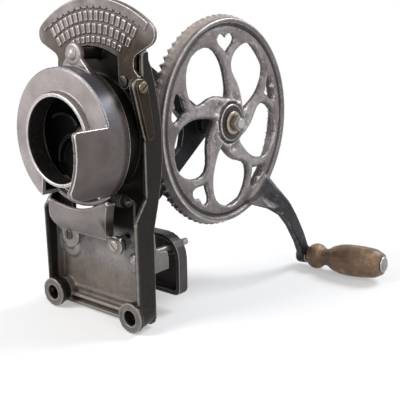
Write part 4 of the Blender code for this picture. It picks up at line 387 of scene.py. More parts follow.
def block(low, high):
    """A box from its lowest to its highest corner."""
    x, y, z = np.meshgrid(*[(low[index], high[index]) for index in range(3)], indexing="ij")
    points = np.stack([x, y, z], axis=-1).reshape(-1, 3)
    faces = [[0, 1, 3, 2], [4, 6, 7, 5], [0, 4, 5, 1], [2, 3, 7, 6], [0, 2, 6, 4], [1, 5, 7, 3]]
    return points, faces


X, Y, Z, FROM_DRUM, FROM_WHEEL = range(5)


def past(measure, start, full):
    """A zone's limit: nothing before start, all of it from full on."""
    return measure, start, full, 1.0, 2.0


def short_of(measure, fade, end):
    """A zone's limit: all of it up to fade, nothing from end on."""
    return measure, -2.0, -1.0, fade, end


def iron(name, body, worn, rust, rough, metal, wear=0.8, rusting=0.2, cloudy=0.35, grain=1.0, zones=(),
         relief=False):
    """Old cast iron.

    The body colour is darkened by slow clouds and fine sand grain, rust comes in where a second cloud is
    high, and worn bright metal shows on the raised edges, where the surface bends outwards; where it bends
    inwards, the colour is darkened as painted shade. Each zone is a colour and its limits. A limit is a
    measure
    with four values: the colour fades in between the first two and out between the last two. FROM_DRUM is the
    distance from the drum's middle line, and FROM_WHEEL that from the wheel's. The last flag, where true,
    paints light from the point attribute of its own name: painted shade on what lies low, and a painted
    highlight of the worn colour on the highest ridges.
    from the wheel's. Where relief is true, the point attribute of that name darkens what lies low.
    """
    material, nodes, links, shader = fresh_material(name)
    give(shader, {"Metallic": metal, "Specular IOR Level": 0.2})
    place = nodes.new("ShaderNodeTexCoord")

    def cloud(scale, detail, roughness):
        """Noise on the object's own coordinates."""
        noise = nodes.new("ShaderNodeTexNoise")
        give(noise, {"Scale": scale, "Detail": detail, "Roughness": roughness})
        links.new(place.outputs["Object"], noise.inputs["Vector"])
        return noise.outputs["Fac"]

    def ramp(source, low, high):
        """Nought below low, one above high, and smooth between."""
        step = nodes.new("ShaderNodeMapRange")
        step.interpolation_type = "SMOOTHSTEP"
        give(step, {"From Min": low, "From Max": high})
        links.new(source, step.inputs["Value"])
        return step.outputs["Result"]

    def blended(share, first, second):
        """A colour between two."""
        mix = nodes.new("ShaderNodeMix")
        mix.data_type = "RGBA"
        if isinstance(share, float):
            mix.inputs["Factor"].default_value = share
        else:
            links.new(share, mix.inputs["Factor"])
        for socket, colour in ((mix.inputs["A"], first), (mix.inputs["B"], second)):
            if isinstance(colour, tuple):
                socket.default_value = (*colour, 1.0)
            else:
                links.new(colour, socket)
        return mix.outputs["Result"]

    def maths(operation, first, second):
        """Arithmetic on two values."""
        step = nodes.new("ShaderNodeMath")
        step.operation = operation
        for socket, value in zip(step.inputs, (first, second)):
            if isinstance(value, float):
                socket.default_value = value
            else:
                links.new(value, socket)
        return step.outputs["Value"]

    def bump(distance, height):
        """Small hills and hollows, as deep as distance in metres."""
        step = nodes.new("ShaderNodeBump")
        give(step, {"Strength": 0.45, "Distance": distance})
        links.new(height, step.inputs["Height"])
        return step

    parts = nodes.new("ShaderNodeSeparateXYZ")
    links.new(place.outputs["Object"], parts.inputs["Vector"])

    def far_from(side, middle, height):
        """The distance from a middle line, by one coordinate across it and by the height."""
        squares = [maths("POWER", maths("SUBTRACT", parts.outputs[letter], value), 2.0)
                   for letter, value in ((side, middle), ("Z", height))]
        return maths("SQRT", maths("ADD", *squares), 0.0)

    measures = (parts.outputs["X"], parts.outputs["Y"], parts.outputs["Z"],
                far_from("X", 0.0, DRUM_Z), far_from("Y", WHEEL_Y, WHEEL_Z))

    deep = tuple(value * (1.0 - cloudy) for value in body)
    base = blended(ramp(cloud(30.0, 6.0, 0.62), 0.30, 0.72), deep, body)
    speck = ramp(cloud(520.0 / grain, 3.0, 0.7), 0.40, 0.80)
    for colour, limits in zones:
        share = None
        for measure, start, full, fade, end in limits:
            edge = maths("MULTIPLY", ramp(measures[measure], start, full),
                         maths("SUBTRACT", 1.0, ramp(measures[measure], fade, end)))
            share = edge if share is None else maths("MULTIPLY", share, edge)
        dull = tuple(value * 0.72 for value in colour)
        base = blended(share, base, blended(ramp(cloud(45.0, 6.0, 0.65), 0.30, 0.70), dull, colour))
    # Painted light: shade where the point attribute lies low, and a highlight of the worn colour on the
    # highest ridges.
    if relief:
        high = nodes.new("ShaderNodeAttribute")
        high.attribute_name = "relief"
        rag = maths("SUBTRACT", maths("MULTIPLY", cloud(160.0, 5.0, 0.7), 0.5), 0.25)
        ragged = maths("ADD", high.outputs["Fac"], rag)
        low_tone = blended(0.72, base, (0.020, 0.018, 0.018))
        base = blended(ramp(ragged, 0.10, 0.85), low_tone, base)
        base = blended(maths("MULTIPLY", ramp(ragged, 0.80, 1.15), 0.40), base, worn)
    pores = ramp(cloud(240.0 / grain, 4.0, 0.7), 0.50, 0.72)
    dark = tuple(value * 0.30 for value in body)
    base = blended(maths("MULTIPLY", maths("ADD", speck, pores), 0.30), base, dark)
    stain = ramp(cloud(24.0, 7.0, 0.70), 0.68 - rusting * 0.22, 0.84 - rusting * 0.22)
    base = blended(maths("MULTIPLY", stain, 0.8), base, rust)
    bend = nodes.new("ShaderNodeNewGeometry")
    ridge = ramp(bend.outputs["Pointiness"], 0.502, 0.56)
    patchy = maths("ADD", ridge, maths("MULTIPLY", cloud(110.0, 4.0, 0.65), 0.5))
    bright = maths("MULTIPLY", ramp(patchy, 0.45, 1.15), wear)
    base = blended(bright, base, worn)
    # Painted shade: the colour darkens where the surface bends inwards, in hollows and inner corners.
    hollow = maths("SUBTRACT", 1.0, ramp(bend.outputs["Pointiness"], 0.40, 0.495))
    base = blended(maths("MULTIPLY", hollow, 0.85), base, tuple(value * 0.15 for value in body))
    links.new(base, shader.inputs["Base Color"])
    rougher = maths("ADD", maths("MULTIPLY", cloud(85.0, 5.0, 0.6), 0.30), rough - 0.15)
    links.new(maths("SUBTRACT", rougher, maths("MULTIPLY", bright, 0.12)), shader.inputs["Roughness"])
    fine = bump(0.00025, cloud(800.0 / grain, 5.0, 0.7))
    wave = bump(0.0011, cloud(85.0, 3.0, 0.5))
    links.new(fine.outputs["Normal"], wave.inputs["Normal"])
    links.new(wave.outputs["Normal"], shader.inputs["Normal"])
    return material


def dress(item, body, material, slot, *nodes):
    """Finish a piece: its material, the body that it rides on, and the nodes that it stands for."""
    if not item.data.materials:
        item.data.materials.append(material)
    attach(item, body)
    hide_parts(*nodes)


plate_width = (X, -0.0665, -0.0650, 0.0650, 0.0665)
frame_iron = iron("frame_iron", FRAME_BODY, FRAME_WORN, FRAME_RUST, 0.40, 0.25, wear=0.9, rusting=0.10,
                  zones=(
                      (PLATE_GREY, (plate_width, past(Y, -0.0150, -0.0140), (Z, -0.02, 0.02, 0.047, 0.057))),
                      (PLATE_BROWN, (plate_width, past(Y, -0.0165, -0.0155), short_of(Z, -0.01, 0.03))),
                      (CORNER_GREY, (short_of(Y, -0.0292, -0.027), short_of(Z, -0.012, -0.008)))))
frame_shells = [node_shell("frame_casting")]
for side in (-1.0, 1.0):
    wall_bead = np.linspace((side * WALL_X, FLANGE_Y, -0.036), (side * WALL_X, FLANGE_Y, 0.068), 40)
    frame_shells.append(tube(wall_bead, 0.0021))
    frame_shells.append(lathe((side * CLAMP_X, 0.0, CLAMP_Z), FORWARD, [
        (0.0160, 0.0), (0.0160, 0.0078), (0.0150, 0.0088), (0.0100, 0.0090)]))
for rail_y, rail_z, rail_radius in ((RAIL_Y, RAIL_Z, 0.0022), (-0.0062, -0.0270, 0.0014)):
    rail = np.linspace((-RAIL_HALF, rail_y, rail_z), (RAIL_HALF, rail_y, rail_z), 30)
    frame_shells.append(tube(rail, rail_radius))
frame_shells.append(block((-RAIL_HALF, RAIL_Y, RAIL_Z - 0.0016), (RAIL_HALF, -0.003, RAIL_Z + 0.0012)))
frame_piece = casting("frame_body", frame_shells, skin=FRAME_SKIN)
frame_points = points_of(frame_piece)
frame_round = round_again(frame_points, (0.0, 0.0, DRUM_Z), 1, (0.0615, 0.0575), 0.0009)
frame_round = np.where(frame_points[:, 1:2] < -0.0065, frame_round, frame_points)
for side in (-1.0, 1.0):
    bore = round_again(frame_round, (side * CORNER_X, 0.0, CORNER_Z), 1, (0.0085, 0.0160), 0.0008)
    frame_round = np.where(frame_round[:, 1:2] < -0.014, bore, frame_round)
move_points(frame_piece, frame_round)
dress(frame_piece, "frame", frame_iron, "frame_iron", "frame_casting")


# Axle bracket and clamp jaw: two more castings of the same dark iron, bolted behind the plate.
# The bracket is bluish with oil, and both have the rough skin of the sand mould.
bracket_iron = iron("bracket_iron", (0.032, 0.033, 0.038), (0.26, 0.26, 0.27), (0.08, 0.055, 0.038), 0.40,
                    0.55)
bracket_piece = casting("bracket_body", [node_shell("axle_bracket")])
dress(bracket_piece, "frame", bracket_iron, "frame_iron", "axle_bracket")
jaw_iron = iron("jaw_iron", (0.075, 0.070, 0.068), (0.30, 0.28, 0.27), (0.09, 0.055, 0.035), 0.45, 0.5,
                rusting=0.4)
jaw_piece = casting("jaw_body", [node_shell("clamp_jaw")])
dress(jaw_piece, "jaw", jaw_iron, "frame_iron", "clamp_jaw")


# Crest: a fan of brown worn iron with a raised border, a line of dentils and three rows of plain bars.
# It is cast in one piece and held by two slotted screws.
CREST_SKIN = 0.0007
CREST_X = 0.008
CREST_Z = 0.1568
CREST_FACE_Y = -0.0133
CREST_BODY = (0.30, 0.268, 0.262)
CREST_WORN = (0.70, 0.66, 0.65)
CREST_RUST = (0.13, 0.085, 0.060)
GROUND_BROWN = (0.130, 0.103, 0.092)
LEG_BROWN = (0.045, 0.030, 0.022)
# Each row: radius, half height, half width, first and last degrees, how many, how far they stand proud.
FAN_ROWS = ((0.1205, 0.0016, 0.0030, -31.0, 31.0, 15, 0.0016),
            (0.1115, 0.0047, 0.0023, -31.0, 31.0, 17, 0.0019),
            (0.0995, 0.0045, 0.0023, -30.0, 30.0, 14, 0.0019),
            (0.0890, 0.0030, 0.0021, -18.0, 25.0, 10, 0.0017))
crest_iron = iron("crest_iron", CREST_BODY, CREST_WORN, CREST_RUST, 0.46, 0.40, wear=0.7, rusting=0.35,
                  cloudy=0.55, grain=1.5, zones=(
                      (GROUND_BROWN, (past(Y, -0.0146, -0.0140), (X, -0.075, -0.060, 0.066, 0.078))),
                      (LEG_BROWN, (past(X, 0.032, 0.048), (Z, 0.1, 0.15, 0.236, 0.262)))))


def fan_bars(radius, half_height, half_width, first, last, count, proud):
    """Plain raised bars on an arc about the fan's middle, each a block turned towards that middle.

    A corner (a, y, b) of the block goes to middle + out * (radius + b) + along * a, at the same y.
    """
    shells = []
    for angle in np.radians(np.linspace(first, last, count)):
        points, faces = block((-half_width, CREST_FACE_Y - proud, -half_height),
                              (half_width, CREST_FACE_Y + 0.001, half_height))
        out = np.array((math.sin(angle), 0.0, math.cos(angle)))
        along = np.array((math.cos(angle), 0.0, -math.sin(angle)))
        centre = np.array((CREST_X, 0.0, CREST_Z)) + out * radius
        shells.append((centre + points @ np.array((along, (0.0, 1.0, 0.0), out)), faces))
    return shells


crest_shells = [node_shell("crest_plaque")]
for fan_row in FAN_ROWS:
    crest_shells += fan_bars(*fan_row)
crest_piece = casting("crest_body", crest_shells, skin=CREST_SKIN, passes=2)
dress(crest_piece, "frame", crest_iron, "crest_iron", "crest_plaque")


# Throat: the drum with its mouth, the hood on the crank side and the lug that it hangs on.
# It is one iron casting, rubbed pale and smooth outside by years of use. Its outer side and hood are painted
# dark as shade, with a painted bluish sheen on the upper front of the side, and the inside of the drum and
# the mouth is painted black as shade.
THROAT_SKIN = 0.00085
LUG_X = 0.008
LUG_Z = 0.2324
LUG_FOOT_Z = 0.2205
THROAT_BODY = (0.400, 0.358, 0.352)
THROAT_WORN = (0.66, 0.62, 0.60)
THROAT_RUST = (0.19, 0.135, 0.105)
# Painted shade: the drum's outer side, turned away from the light, is dark grey.
SIDE_PAINTED_SHADE = (0.128, 0.110, 0.105)
# Painted sheen: a bluish highlight on the upper front of the drum's side, where the light is reflected.
PAINTED_SHEEN_BLUE = (0.118, 0.118, 0.142)
BACK_BROWN = (0.040, 0.031, 0.027)
# Painted shade: the hood carries on the side's dark grey, as it turns from the light.
HOOD_PAINTED_SHADE = (0.128, 0.108, 0.102)
# Painted shade: black inside the mouth, a recess where little light reaches.
MOUTH_PAINTED_SHADE = (0.016, 0.014, 0.013)
# The collar ring round the mouth, behind the face, is a darker olive.
COLLAR_DARK = (0.090, 0.085, 0.070)
# Painted shade: black on the drum's inside, behind the face.
INSIDE_PAINTED_SHADE = (0.018, 0.016, 0.015)
outer_wall = past(FROM_DRUM, 0.0688, 0.0700)
below_lug = short_of(Z, LUG_FOOT_Z, 0.2220)
throat_iron = iron("throat_iron", THROAT_BODY, THROAT_WORN, THROAT_RUST, 0.40, 0.45, wear=0.85, rusting=0.30,
                   cloudy=0.36, zones=(
                       (SIDE_PAINTED_SHADE, (outer_wall, past(Y, -0.0552, -0.0548), below_lug)),
                       (PAINTED_SHEEN_BLUE, (outer_wall, (Y, -0.0552, -0.0548, -0.044, -0.038),
                                   (Z, 0.150, 0.185, LUG_FOOT_Z, 0.2220))),
                       (BACK_BROWN, (outer_wall, past(Y, -0.0395, -0.0340))),
                       (HOOD_PAINTED_SHADE, (outer_wall, short_of(Y, -0.0550, -0.0546))),
                       (HOOD_PAINTED_SHADE, (short_of(Y, -0.0635, -0.0622),)),
                       (MOUTH_PAINTED_SHADE, (short_of(FROM_DRUM, 0.0440, 0.0452), past(Y, -0.0608, -0.0595))),
                       (COLLAR_DARK, ((FROM_DRUM, 0.0462, 0.0470, 0.0486, 0.0492),
                                      (Y, -0.0606, -0.0600, -0.0560, -0.0552))),
                       (INSIDE_PAINTED_SHADE, (short_of(FROM_DRUM, 0.0660, 0.0678), past(Y, -0.0505, -0.049)))))
lug_ring = lathe((LUG_X, -0.0385, LUG_Z), FORWARD, [(0.0098, 0.0), (0.0098, 0.0022), (0.0088, 0.0026)])
throat_piece = casting("throat_body", [node_shell("throat_casting"), lug_ring], skin=THROAT_SKIN, passes=2)
throat_points = points_of(throat_piece)
throat_round = round_again(throat_points, (0.0, 0.0, DRUM_Z), 1, (0.0708, 0.0430, 0.0480), 0.0007)
move_points(throat_piece, np.where(throat_points[:, 2:] < LUG_FOOT_Z, throat_round, throat_points))
dress(throat_piece, "throat", throat_iron, "throat_iron", "throat_casting")


# Apron: a cast chute of the same iron, held below the drum by two screws through its lobes.
# Its lip is rolled thick, its crank side is turned back, and it draws in towards the foot.
APRON_SKIN = 0.0007
LIP_Y = -0.0400
LIP_DEGREES = (-121.6, -114.7, -105.0, -96.5, -87.7, -78.0, -69.0, -61.0, -52.0)
LIP_RADII = (0.0810, 0.0779, 0.0756, 0.0748, 0.0742, 0.0738, 0.0738, 0.0742, 0.0765)
FOOT_LEFT = -0.048
FOOT_WIDTH = 0.072
FOOT_Y = -0.0222
FOOT_Z = 0.0455
LEFT_SWING = 0.0075
HALF_WALL = 0.0017
ACROSS = 41
DOWN = 25
LOBE_BACK_Y = -0.0195
LOBE_FRONT_Y = -0.0243
APRON_BODY = (0.240, 0.215, 0.205)
APRON_WORN = (0.60, 0.56, 0.54)
APRON_RUST = (0.14, 0.09, 0.06)
# Painted shade: the apron's turned-back crank side and the ledge at its foot are dark brown.
LEDGE_PAINTED_SHADE = (0.070, 0.050, 0.036)


def lip_places(count):
    """Places along the lip, an arc about the drum's middle line whose radius grows towards both ends."""
    degrees = np.linspace(LIP_DEGREES[0], LIP_DEGREES[-1], count)
    radius = np.interp(degrees, LIP_DEGREES, LIP_RADII)
    angle = np.radians(degrees)
    return np.stack([radius * np.cos(angle), np.full(count, LIP_Y), DRUM_Z + radius * np.sin(angle)], axis=-1)


def chute_sheet(side):
    """One side of the chute's wall, from the lip down to the foot.

    The foot is a straight line. On the way down, v, y goes back by (foot - lip) * v ^ 1.3, and the left edge
    swings out by LEFT_SWING * (1 - u) ^ 3 * sin(pi * v ^ 1.6), where u runs across. Each side stands half a
    wall off the middle sheet along its own normal.
    """
    u, v = np.meshgrid(np.linspace(0.0, 1.0, ACROSS), np.linspace(0.0, 1.0, DOWN), indexing="ij")
    foot = np.stack([FOOT_LEFT + FOOT_WIDTH * u, np.full_like(u, FOOT_Y), np.full_like(u, FOOT_Z)], axis=-1)
    lip = lip_places(ACROSS)[:, None, :]
    sheet = lip + (foot - lip) * v[..., None]
    sheet[..., 0] -= LEFT_SWING * (1.0 - u) ** 3 * np.sin(math.pi * v ** 1.6)
    sheet[..., 1] = LIP_Y + (FOOT_Y - LIP_Y) * v ** 1.3
    normal = np.cross(np.gradient(sheet, axis=0), np.gradient(sheet, axis=1))
    normal /= np.linalg.norm(normal, axis=-1)[..., None]
    return sheet + normal * HALF_WALL * side


front_sheet = chute_sheet(1.0)
back_sheet = chute_sheet(-1.0)
count = ACROSS * DOWN
number = np.arange(count).reshape(ACROSS, DOWN)
rim = np.concatenate([number[:, 0], number[-1, 1:], number[-2::-1, -1], number[0, -2:0:-1]])
after = np.roll(rim, -1)
chute_faces = np.concatenate([grid_faces(ACROSS, DOWN), grid_faces(ACROSS, DOWN)[:, ::-1] + count,
                              np.stack([rim, after, after + count, rim + count], axis=-1)])
apron_shells = [(np.concatenate([front_sheet.reshape(-1, 3), back_sheet.reshape(-1, 3)]), chute_faces),
                tube(lip_places(60), 0.0024),
                block((-0.0470, LOBE_FRONT_Y, 0.0440), (0.0240, LOBE_BACK_Y, 0.0490)),
                block((-0.0447, LOBE_FRONT_Y, 0.0400), (-0.0183, LOBE_BACK_Y, 0.0480)),
                tube(np.linspace((0.020, FOOT_Y, 0.0475), (0.046, FOOT_Y, 0.0475), 20), 0.0023)]
right_edge = (front_sheet[-1] + back_sheet[-1]) / 2
for depth in np.linspace(0.0, 0.009, 6):
    apron_shells.append(tube(right_edge[1:-1] + np.array((-0.0012, depth, 0.0)), HALF_WALL, sides=8))
for lobe_x, lobe_radius in ((-0.0315, 0.0132), (0.0365, 0.0102)):
    apron_shells.append(lathe((lobe_x, LOBE_BACK_Y, 0.0400), FORWARD, [
        (lobe_radius, 0.0), (lobe_radius, 0.0040), (lobe_radius - 0.0010, 0.0048)]))
apron_iron = iron("apron_iron", APRON_BODY, APRON_WORN, APRON_RUST, 0.42, 0.5, wear=0.95, rusting=0.12,
                  cloudy=0.30, zones=(
                      (LEDGE_PAINTED_SHADE, (past(X, 0.026, 0.031), (Z, 0.0455, 0.0470, 0.062, 0.075))),))
apron_piece = casting("apron_body", apron_shells, skin=APRON_SKIN, passes=2)
dress(apron_piece, "frame", apron_iron, "throat_iron", "apron")


# Wheel: toothed rim, five S-curved spokes with hearts between them, hub and crank arm, cast in one piece.
# The spokes are half round and the iron is grey-brown, rubbed bright on the edges; shade is painted on the
# spokes' flanks, in the grooves and on the web's back, with a painted highlight on the ridges.
WHEEL_SKIN = 0.0012
TEETH = 75
WINDOWS = 5
WINDOW_REACH = 0.100
WINDOW_TURN = 124.0
HEART_MIDDLE = 0.0875
HEART_TURN = 92.5
TO_CRANK = (1.0, 0.0, 0.0)
WHEEL_BODY = (0.235, 0.208, 0.205)
WHEEL_WORN = (0.66, 0.62, 0.61)
WHEEL_RUST = (0.13, 0.085, 0.058)
# Painted light: only the tips of the upper teeth are pale, where the light falls on them.
UPPER_TEETH_PAINTED_LIGHT = (0.40, 0.345, 0.315)
# Painted shadow: the lower teeth and their roots are near black.
LOWER_TEETH_PAINTED_SHADOW = (0.045, 0.039, 0.036)
HUB_DARK = (0.050, 0.044, 0.043)
ARM_DARK = (0.030, 0.029, 0.034)
# Each place on a window's outline: its share of the window's reach, and degrees about the wheel's middle.
WINDOW_OUTLINE = (
    (0.29, -27), (0.36, -28), (0.46, -27), (0.54, -26), (0.62, -24.5), (0.69, -22.5), (0.76, -20),
    (0.83, -17), (0.89, -13), (0.94, -7.5), (0.975, 0), (0.985, 6.5), (0.965, 12.5), (0.92, 18), (0.86, 23.5),
    (0.79, 28.5), (0.72, 32), (0.65, 33.5), (0.58, 31.5), (0.52, 25.5), (0.46, 15), (0.40, 4), (0.34, -8),
    (0.30, -19))


def opening_edges():
    """Places along the edges of the windows and hearts, as (y, z) about the wheel's middle.

    Windows follow their outline's places in straight steps. Hearts follow across = 16 sin^3 t and
    along = 22.5 (13 cos t - 5 cos 2t - 2 cos 3t - cos 4t + 2.5) / 29, in millimetres.
    """
    outline = np.array(WINDOW_OUTLINE, float)
    fine = np.linspace(0.0, len(outline), 193)[:-1]
    knots = np.arange(len(outline) + 1)
    radius = np.interp(fine, knots, np.append(outline[:, 0], outline[0, 0])) * WINDOW_REACH
    angle = np.interp(fine, knots, np.append(outline[:, 1], outline[0, 1]))
    t = np.linspace(0.0, math.tau, 64, endpoint=False)
    wide = 0.016 * np.sin(t) ** 3
    tall = 0.0225 * (13 * np.cos(t) - 5 * np.cos(2 * t) - 2 * np.cos(3 * t) - np.cos(4 * t) + 2.5) / 29
    edges = []
    for turn in 360.0 / WINDOWS * np.arange(WINDOWS):
        way = np.radians(angle + WINDOW_TURN + turn)
        edges.append(np.stack([radius * np.cos(way), radius * np.sin(way)], axis=-1))
        middle = math.radians(HEART_TURN + turn)
        out = np.array((math.cos(middle), math.sin(middle)))
        over = np.array((-math.sin(middle), math.cos(middle)))
        edges.append(out * HEART_MIDDLE + tall[:, None] * out + wide[:, None] * over)
    return np.concatenate(edges)


def nearest(points, targets):
    """The distance from each point to the nearest target, a few thousand points at a time."""
    result = np.empty(len(points))
    for start in range(0, len(points), 4000):
        part = points[start:start + 4000]
        gap = part[:, None, :] - targets[None, :, :]
        result[start:start + 4000] = np.sqrt((gap ** 2).sum(axis=-1).min(axis=1))
    return result


def on_axle(x):
    """A place on the wheel's middle line."""
    return np.array((x, WHEEL_Y, WHEEL_Z))


def between(values, low, high):
    """True where a value lies between the two limits."""
    return (values > low) & (values < high)


tooth_tips = past(FROM_WHEEL, 0.1125, 0.1140)
tooth_roots = past(FROM_WHEEL, 0.1135, 0.1150)
wheel_iron = iron("wheel_iron", WHEEL_BODY, WHEEL_WORN, WHEEL_RUST, 0.42, 0.45, wear=0.75, rusting=0.25,
                  cloudy=0.45, grain=1.3, relief=True, zones=(
                      (UPPER_TEETH_PAINTED_LIGHT, (tooth_tips, short_of(X, 0.0600, 0.0620), past(Z, 0.12, 0.18))),
                      (LOWER_TEETH_PAINTED_SHADOW, (tooth_roots, short_of(X, 0.0550, 0.0575), short_of(Z, 0.10, 0.14))),
                      (HUB_DARK, (short_of(FROM_WHEEL, 0.0190, 0.0225), past(X, 0.0580, 0.0620))),
                      (ARM_DARK, (past(Y, 0.176, 0.196), past(X, 0.0650, 0.0690)))))
wheel_shells = [node_shell("crank_wheel")]
for ring_radius, ring_x, thick in ((0.1128, 0.0632, 0.0021), (0.1008, 0.0620, 0.0014)):
    turn = np.linspace(0.0, math.tau, 240, endpoint=False)
    ring = np.stack([0.0 * turn, ring_radius * np.cos(turn), ring_radius * np.sin(turn)], axis=-1)
    wheel_shells.append(tube(on_axle(ring_x) + ring, thick, closed=True))
wheel_shells.append(lathe(on_axle(0.0570), TO_CRANK, [
    (0.0240, 0.0), (0.0235, 0.0045), (0.0215, 0.0080), (0.0180, 0.0103), (0.0120, 0.0110)], steps=64))
for tooth in range(TEETH):
    way = math.tau * tooth / TEETH
    out = np.array((0.0, math.cos(way), math.sin(way)))
    crown = np.linspace(on_axle(0.0498) + out * 0.1172, on_axle(0.0560) + out * 0.1166, 3)
    wheel_shells.append(tube(crown, 0.0023, sides=8))
inner_ring = lathe(on_axle(0.0460), TO_CRANK, [
    (0.1032, 0.0), (0.1032, 0.0115), (0.1058, 0.0115), (0.1058, 0.0)], steps=160)
wheel_shells.append((inner_ring[0], grid_faces(4, 160, around=True, closed=True)))
wheel_piece = casting("wheel_body", wheel_shells, skin=WHEEL_SKIN, passes=2)

# The web swells from the edges of its openings; its back swells the other way. The hub has two pits beside
# each spoke's root, and the arm's root has a pocket.
wheel_points = points_of(wheel_piece)
depth = wheel_points[:, 0]
flat = wheel_points[:, 1:] - np.array((WHEEL_Y, WHEEL_Z))
reach = np.hypot(flat[:, 0], flat[:, 1])
web = between(reach, 0.0245, 0.1030) & between(depth, 0.0555, 0.0655)
edge_gap = nearest(flat[web], opening_edges())
swell = np.sqrt(1.0 - (1.0 - np.clip(edge_gap / 0.0070, 0.0, 1.0)) ** 2)
front = np.clip((depth[web] - 0.0572) / 0.0056, 0.0, 1.0)
near_hub = np.clip((0.040 - reach[web]) / 0.016, 0.0, 1.0)
near_rim = np.clip((reach[web] - 0.094) / 0.008, 0.0, 1.0)
rise = (0.0040 * swell - 0.0024) * (1.0 - near_rim) + 0.0030 * near_hub * swell
depth[web] += (2.0 * front - 1.0) * rise
for turn in 360.0 / WINDOWS * np.arange(WINDOWS):
    for pit_radius, pit_angle, pit_size in ((0.0300, 148.0, 0.0060), (0.0290, 62.0, 0.0055)):
        way = math.radians(pit_angle + turn)
        gap = np.hypot(flat[:, 0] - pit_radius * math.cos(way), flat[:, 1] - pit_radius * math.sin(way))
        pit = 0.0034 * np.clip(1.0 - (gap / pit_size) ** 2, 0.0, 1.0)
        depth -= np.where((depth > 0.0585) & (reach > 0.0215), pit, 0.0)
pocket = ((flat[:, 0] - 0.061) / 0.0095) ** 2 + ((flat[:, 1] + 0.101) / 0.0075) ** 2
depth -= np.where(depth > 0.0640, 0.0038 * np.clip(1.0 - pocket, 0.0, 1.0), 0.0)
move_points(wheel_piece, round_again(wheel_points, on_axle(0.0), 0, (0.1040,), 0.0006))

# How high each point lies, for the light painted into the iron's colour: 0 in a groove, 1 on a ridge; the low
# points get painted shade and the highest a painted highlight.
lying = np.full(len(wheel_points), 0.80)
lying[web] = np.clip(0.15 + 0.95 * swell * np.maximum(front, 0.6 * (1.0 - front)), 0.0, 1.0)
lying[between(reach, 0.1045, 0.1088) & (depth > 0.0560)] = 0.05
lying[(reach < 0.1040) & (depth < 0.0560)] = 0.10
lying[between(reach, 0.0890, 0.1045) & (depth > 0.0600)] = 0.85
relief_values = wheel_piece.data.attributes.new("relief", "FLOAT", "POINT")
relief_values.data.foreach_set("value", lying.astype(np.float32))
dress(wheel_piece, "wheel", wheel_iron, "wheel_iron", "crank_wheel")


# Shelling disc and its bevel pinion: two castings on one shaft, inside the drum and behind the plate.
# The disc is dark with corn dust and its ribs are rubbed bright; the pinion is greasy grey iron.
disc_iron = iron("disc_iron", (0.006, 0.0055, 0.005), (0.13, 0.13, 0.13), (0.02, 0.013, 0.01), 0.5, 0.2,
                 wear=0.35)
disc_piece = casting("disc_body", [node_shell("shelling_disc")])
dress(disc_piece, "disc", disc_iron, "wheel_iron", "shelling_disc")
pinion_iron = iron("pinion_iron", (0.085, 0.078, 0.074), (0.26, 0.24, 0.235), (0.10, 0.062, 0.042), 0.46,
                   0.55)
pinion_piece = casting("pinion_body", [node_shell("bevel_pinion")], passes=2)
dress(pinion_piece, "disc", pinion_iron, "wheel_iron", "bevel_pinion")


# Strap: a narrow iron plate on the crank side's wall, cut from sheet and rough with brown rust.
# Its upper end is round about the one screw that holds it, and its lower end is a smaller round.
strap_iron = iron("strap_iron", (0.020, 0.0135, 0.0065), (0.15, 0.115, 0.070), (0.090, 0.046, 0.016), 0.68,
                  0.1, rusting=0.8, cloudy=0.5, grain=1.5)
strap_piece = casting("strap_body", [node_shell("side_strap")], skin=0.0005, passes=2)
dress(strap_piece, "frame", strap_iron, "strap_iron", "side_strap")


# Slotted screws: low domes of steel with one sawn slot each, turned as the last hand left them.
# The right apron screw is rubbed bright, the strap's is brassy, and the others are dark with oil.
SLOT_WIDE = 0.0015
SLOT_DEEP = 0.0013
SCREW_SHANK = 0.0026


def steel(name, body, rough, grime):
    """Turned or rubbed steel: fine scratches in the roughness, and dark grime in slow patches."""
    return iron(name, body, tuple(min(1.0, value * 1.6) for value in body), grime, rough, 0.75, wear=0.6,
                rusting=0.3, cloudy=0.45, grain=1.6)


dark_steel = steel("dark_steel", (0.105, 0.095, 0.088), 0.42, (0.05, 0.035, 0.025))
bright_steel = steel("bright_steel", (0.52, 0.485, 0.43), 0.34, (0.16, 0.12, 0.09))
strap_steel = steel("strap_screw_steel", (0.20, 0.165, 0.115), 0.45, (0.09, 0.05, 0.03))
# Painted shade: the near-black material inside the screws' slots.
slot_painted_shade = iron("slot_painted_shade", (0.012, 0.010, 0.009), (0.03, 0.025, 0.02), (0.03, 0.018, 0.01), 0.8, 0.0,
                 wear=0.2)


def facing_out(item):
    """Turn the mesh's faces to the outside, after its doubles are merged."""
    shape = bmesh.new()
    shape.from_mesh(item.data)
    bmesh.ops.remove_doubles(shape, verts=shape.verts, dist=1e-6)
    bmesh.ops.recalc_face_normals(shape, faces=shape.faces)
    shape.to_mesh(item.data)
    shape.free()


def crisp(item, degrees=38.0):
    """Shade smooth, but keep the edges that bend more than this as sharp ones."""
    facing_out(item)
    item.data.shade_smooth()
    item.data.set_sharp_from_angle(angle=math.radians(degrees))


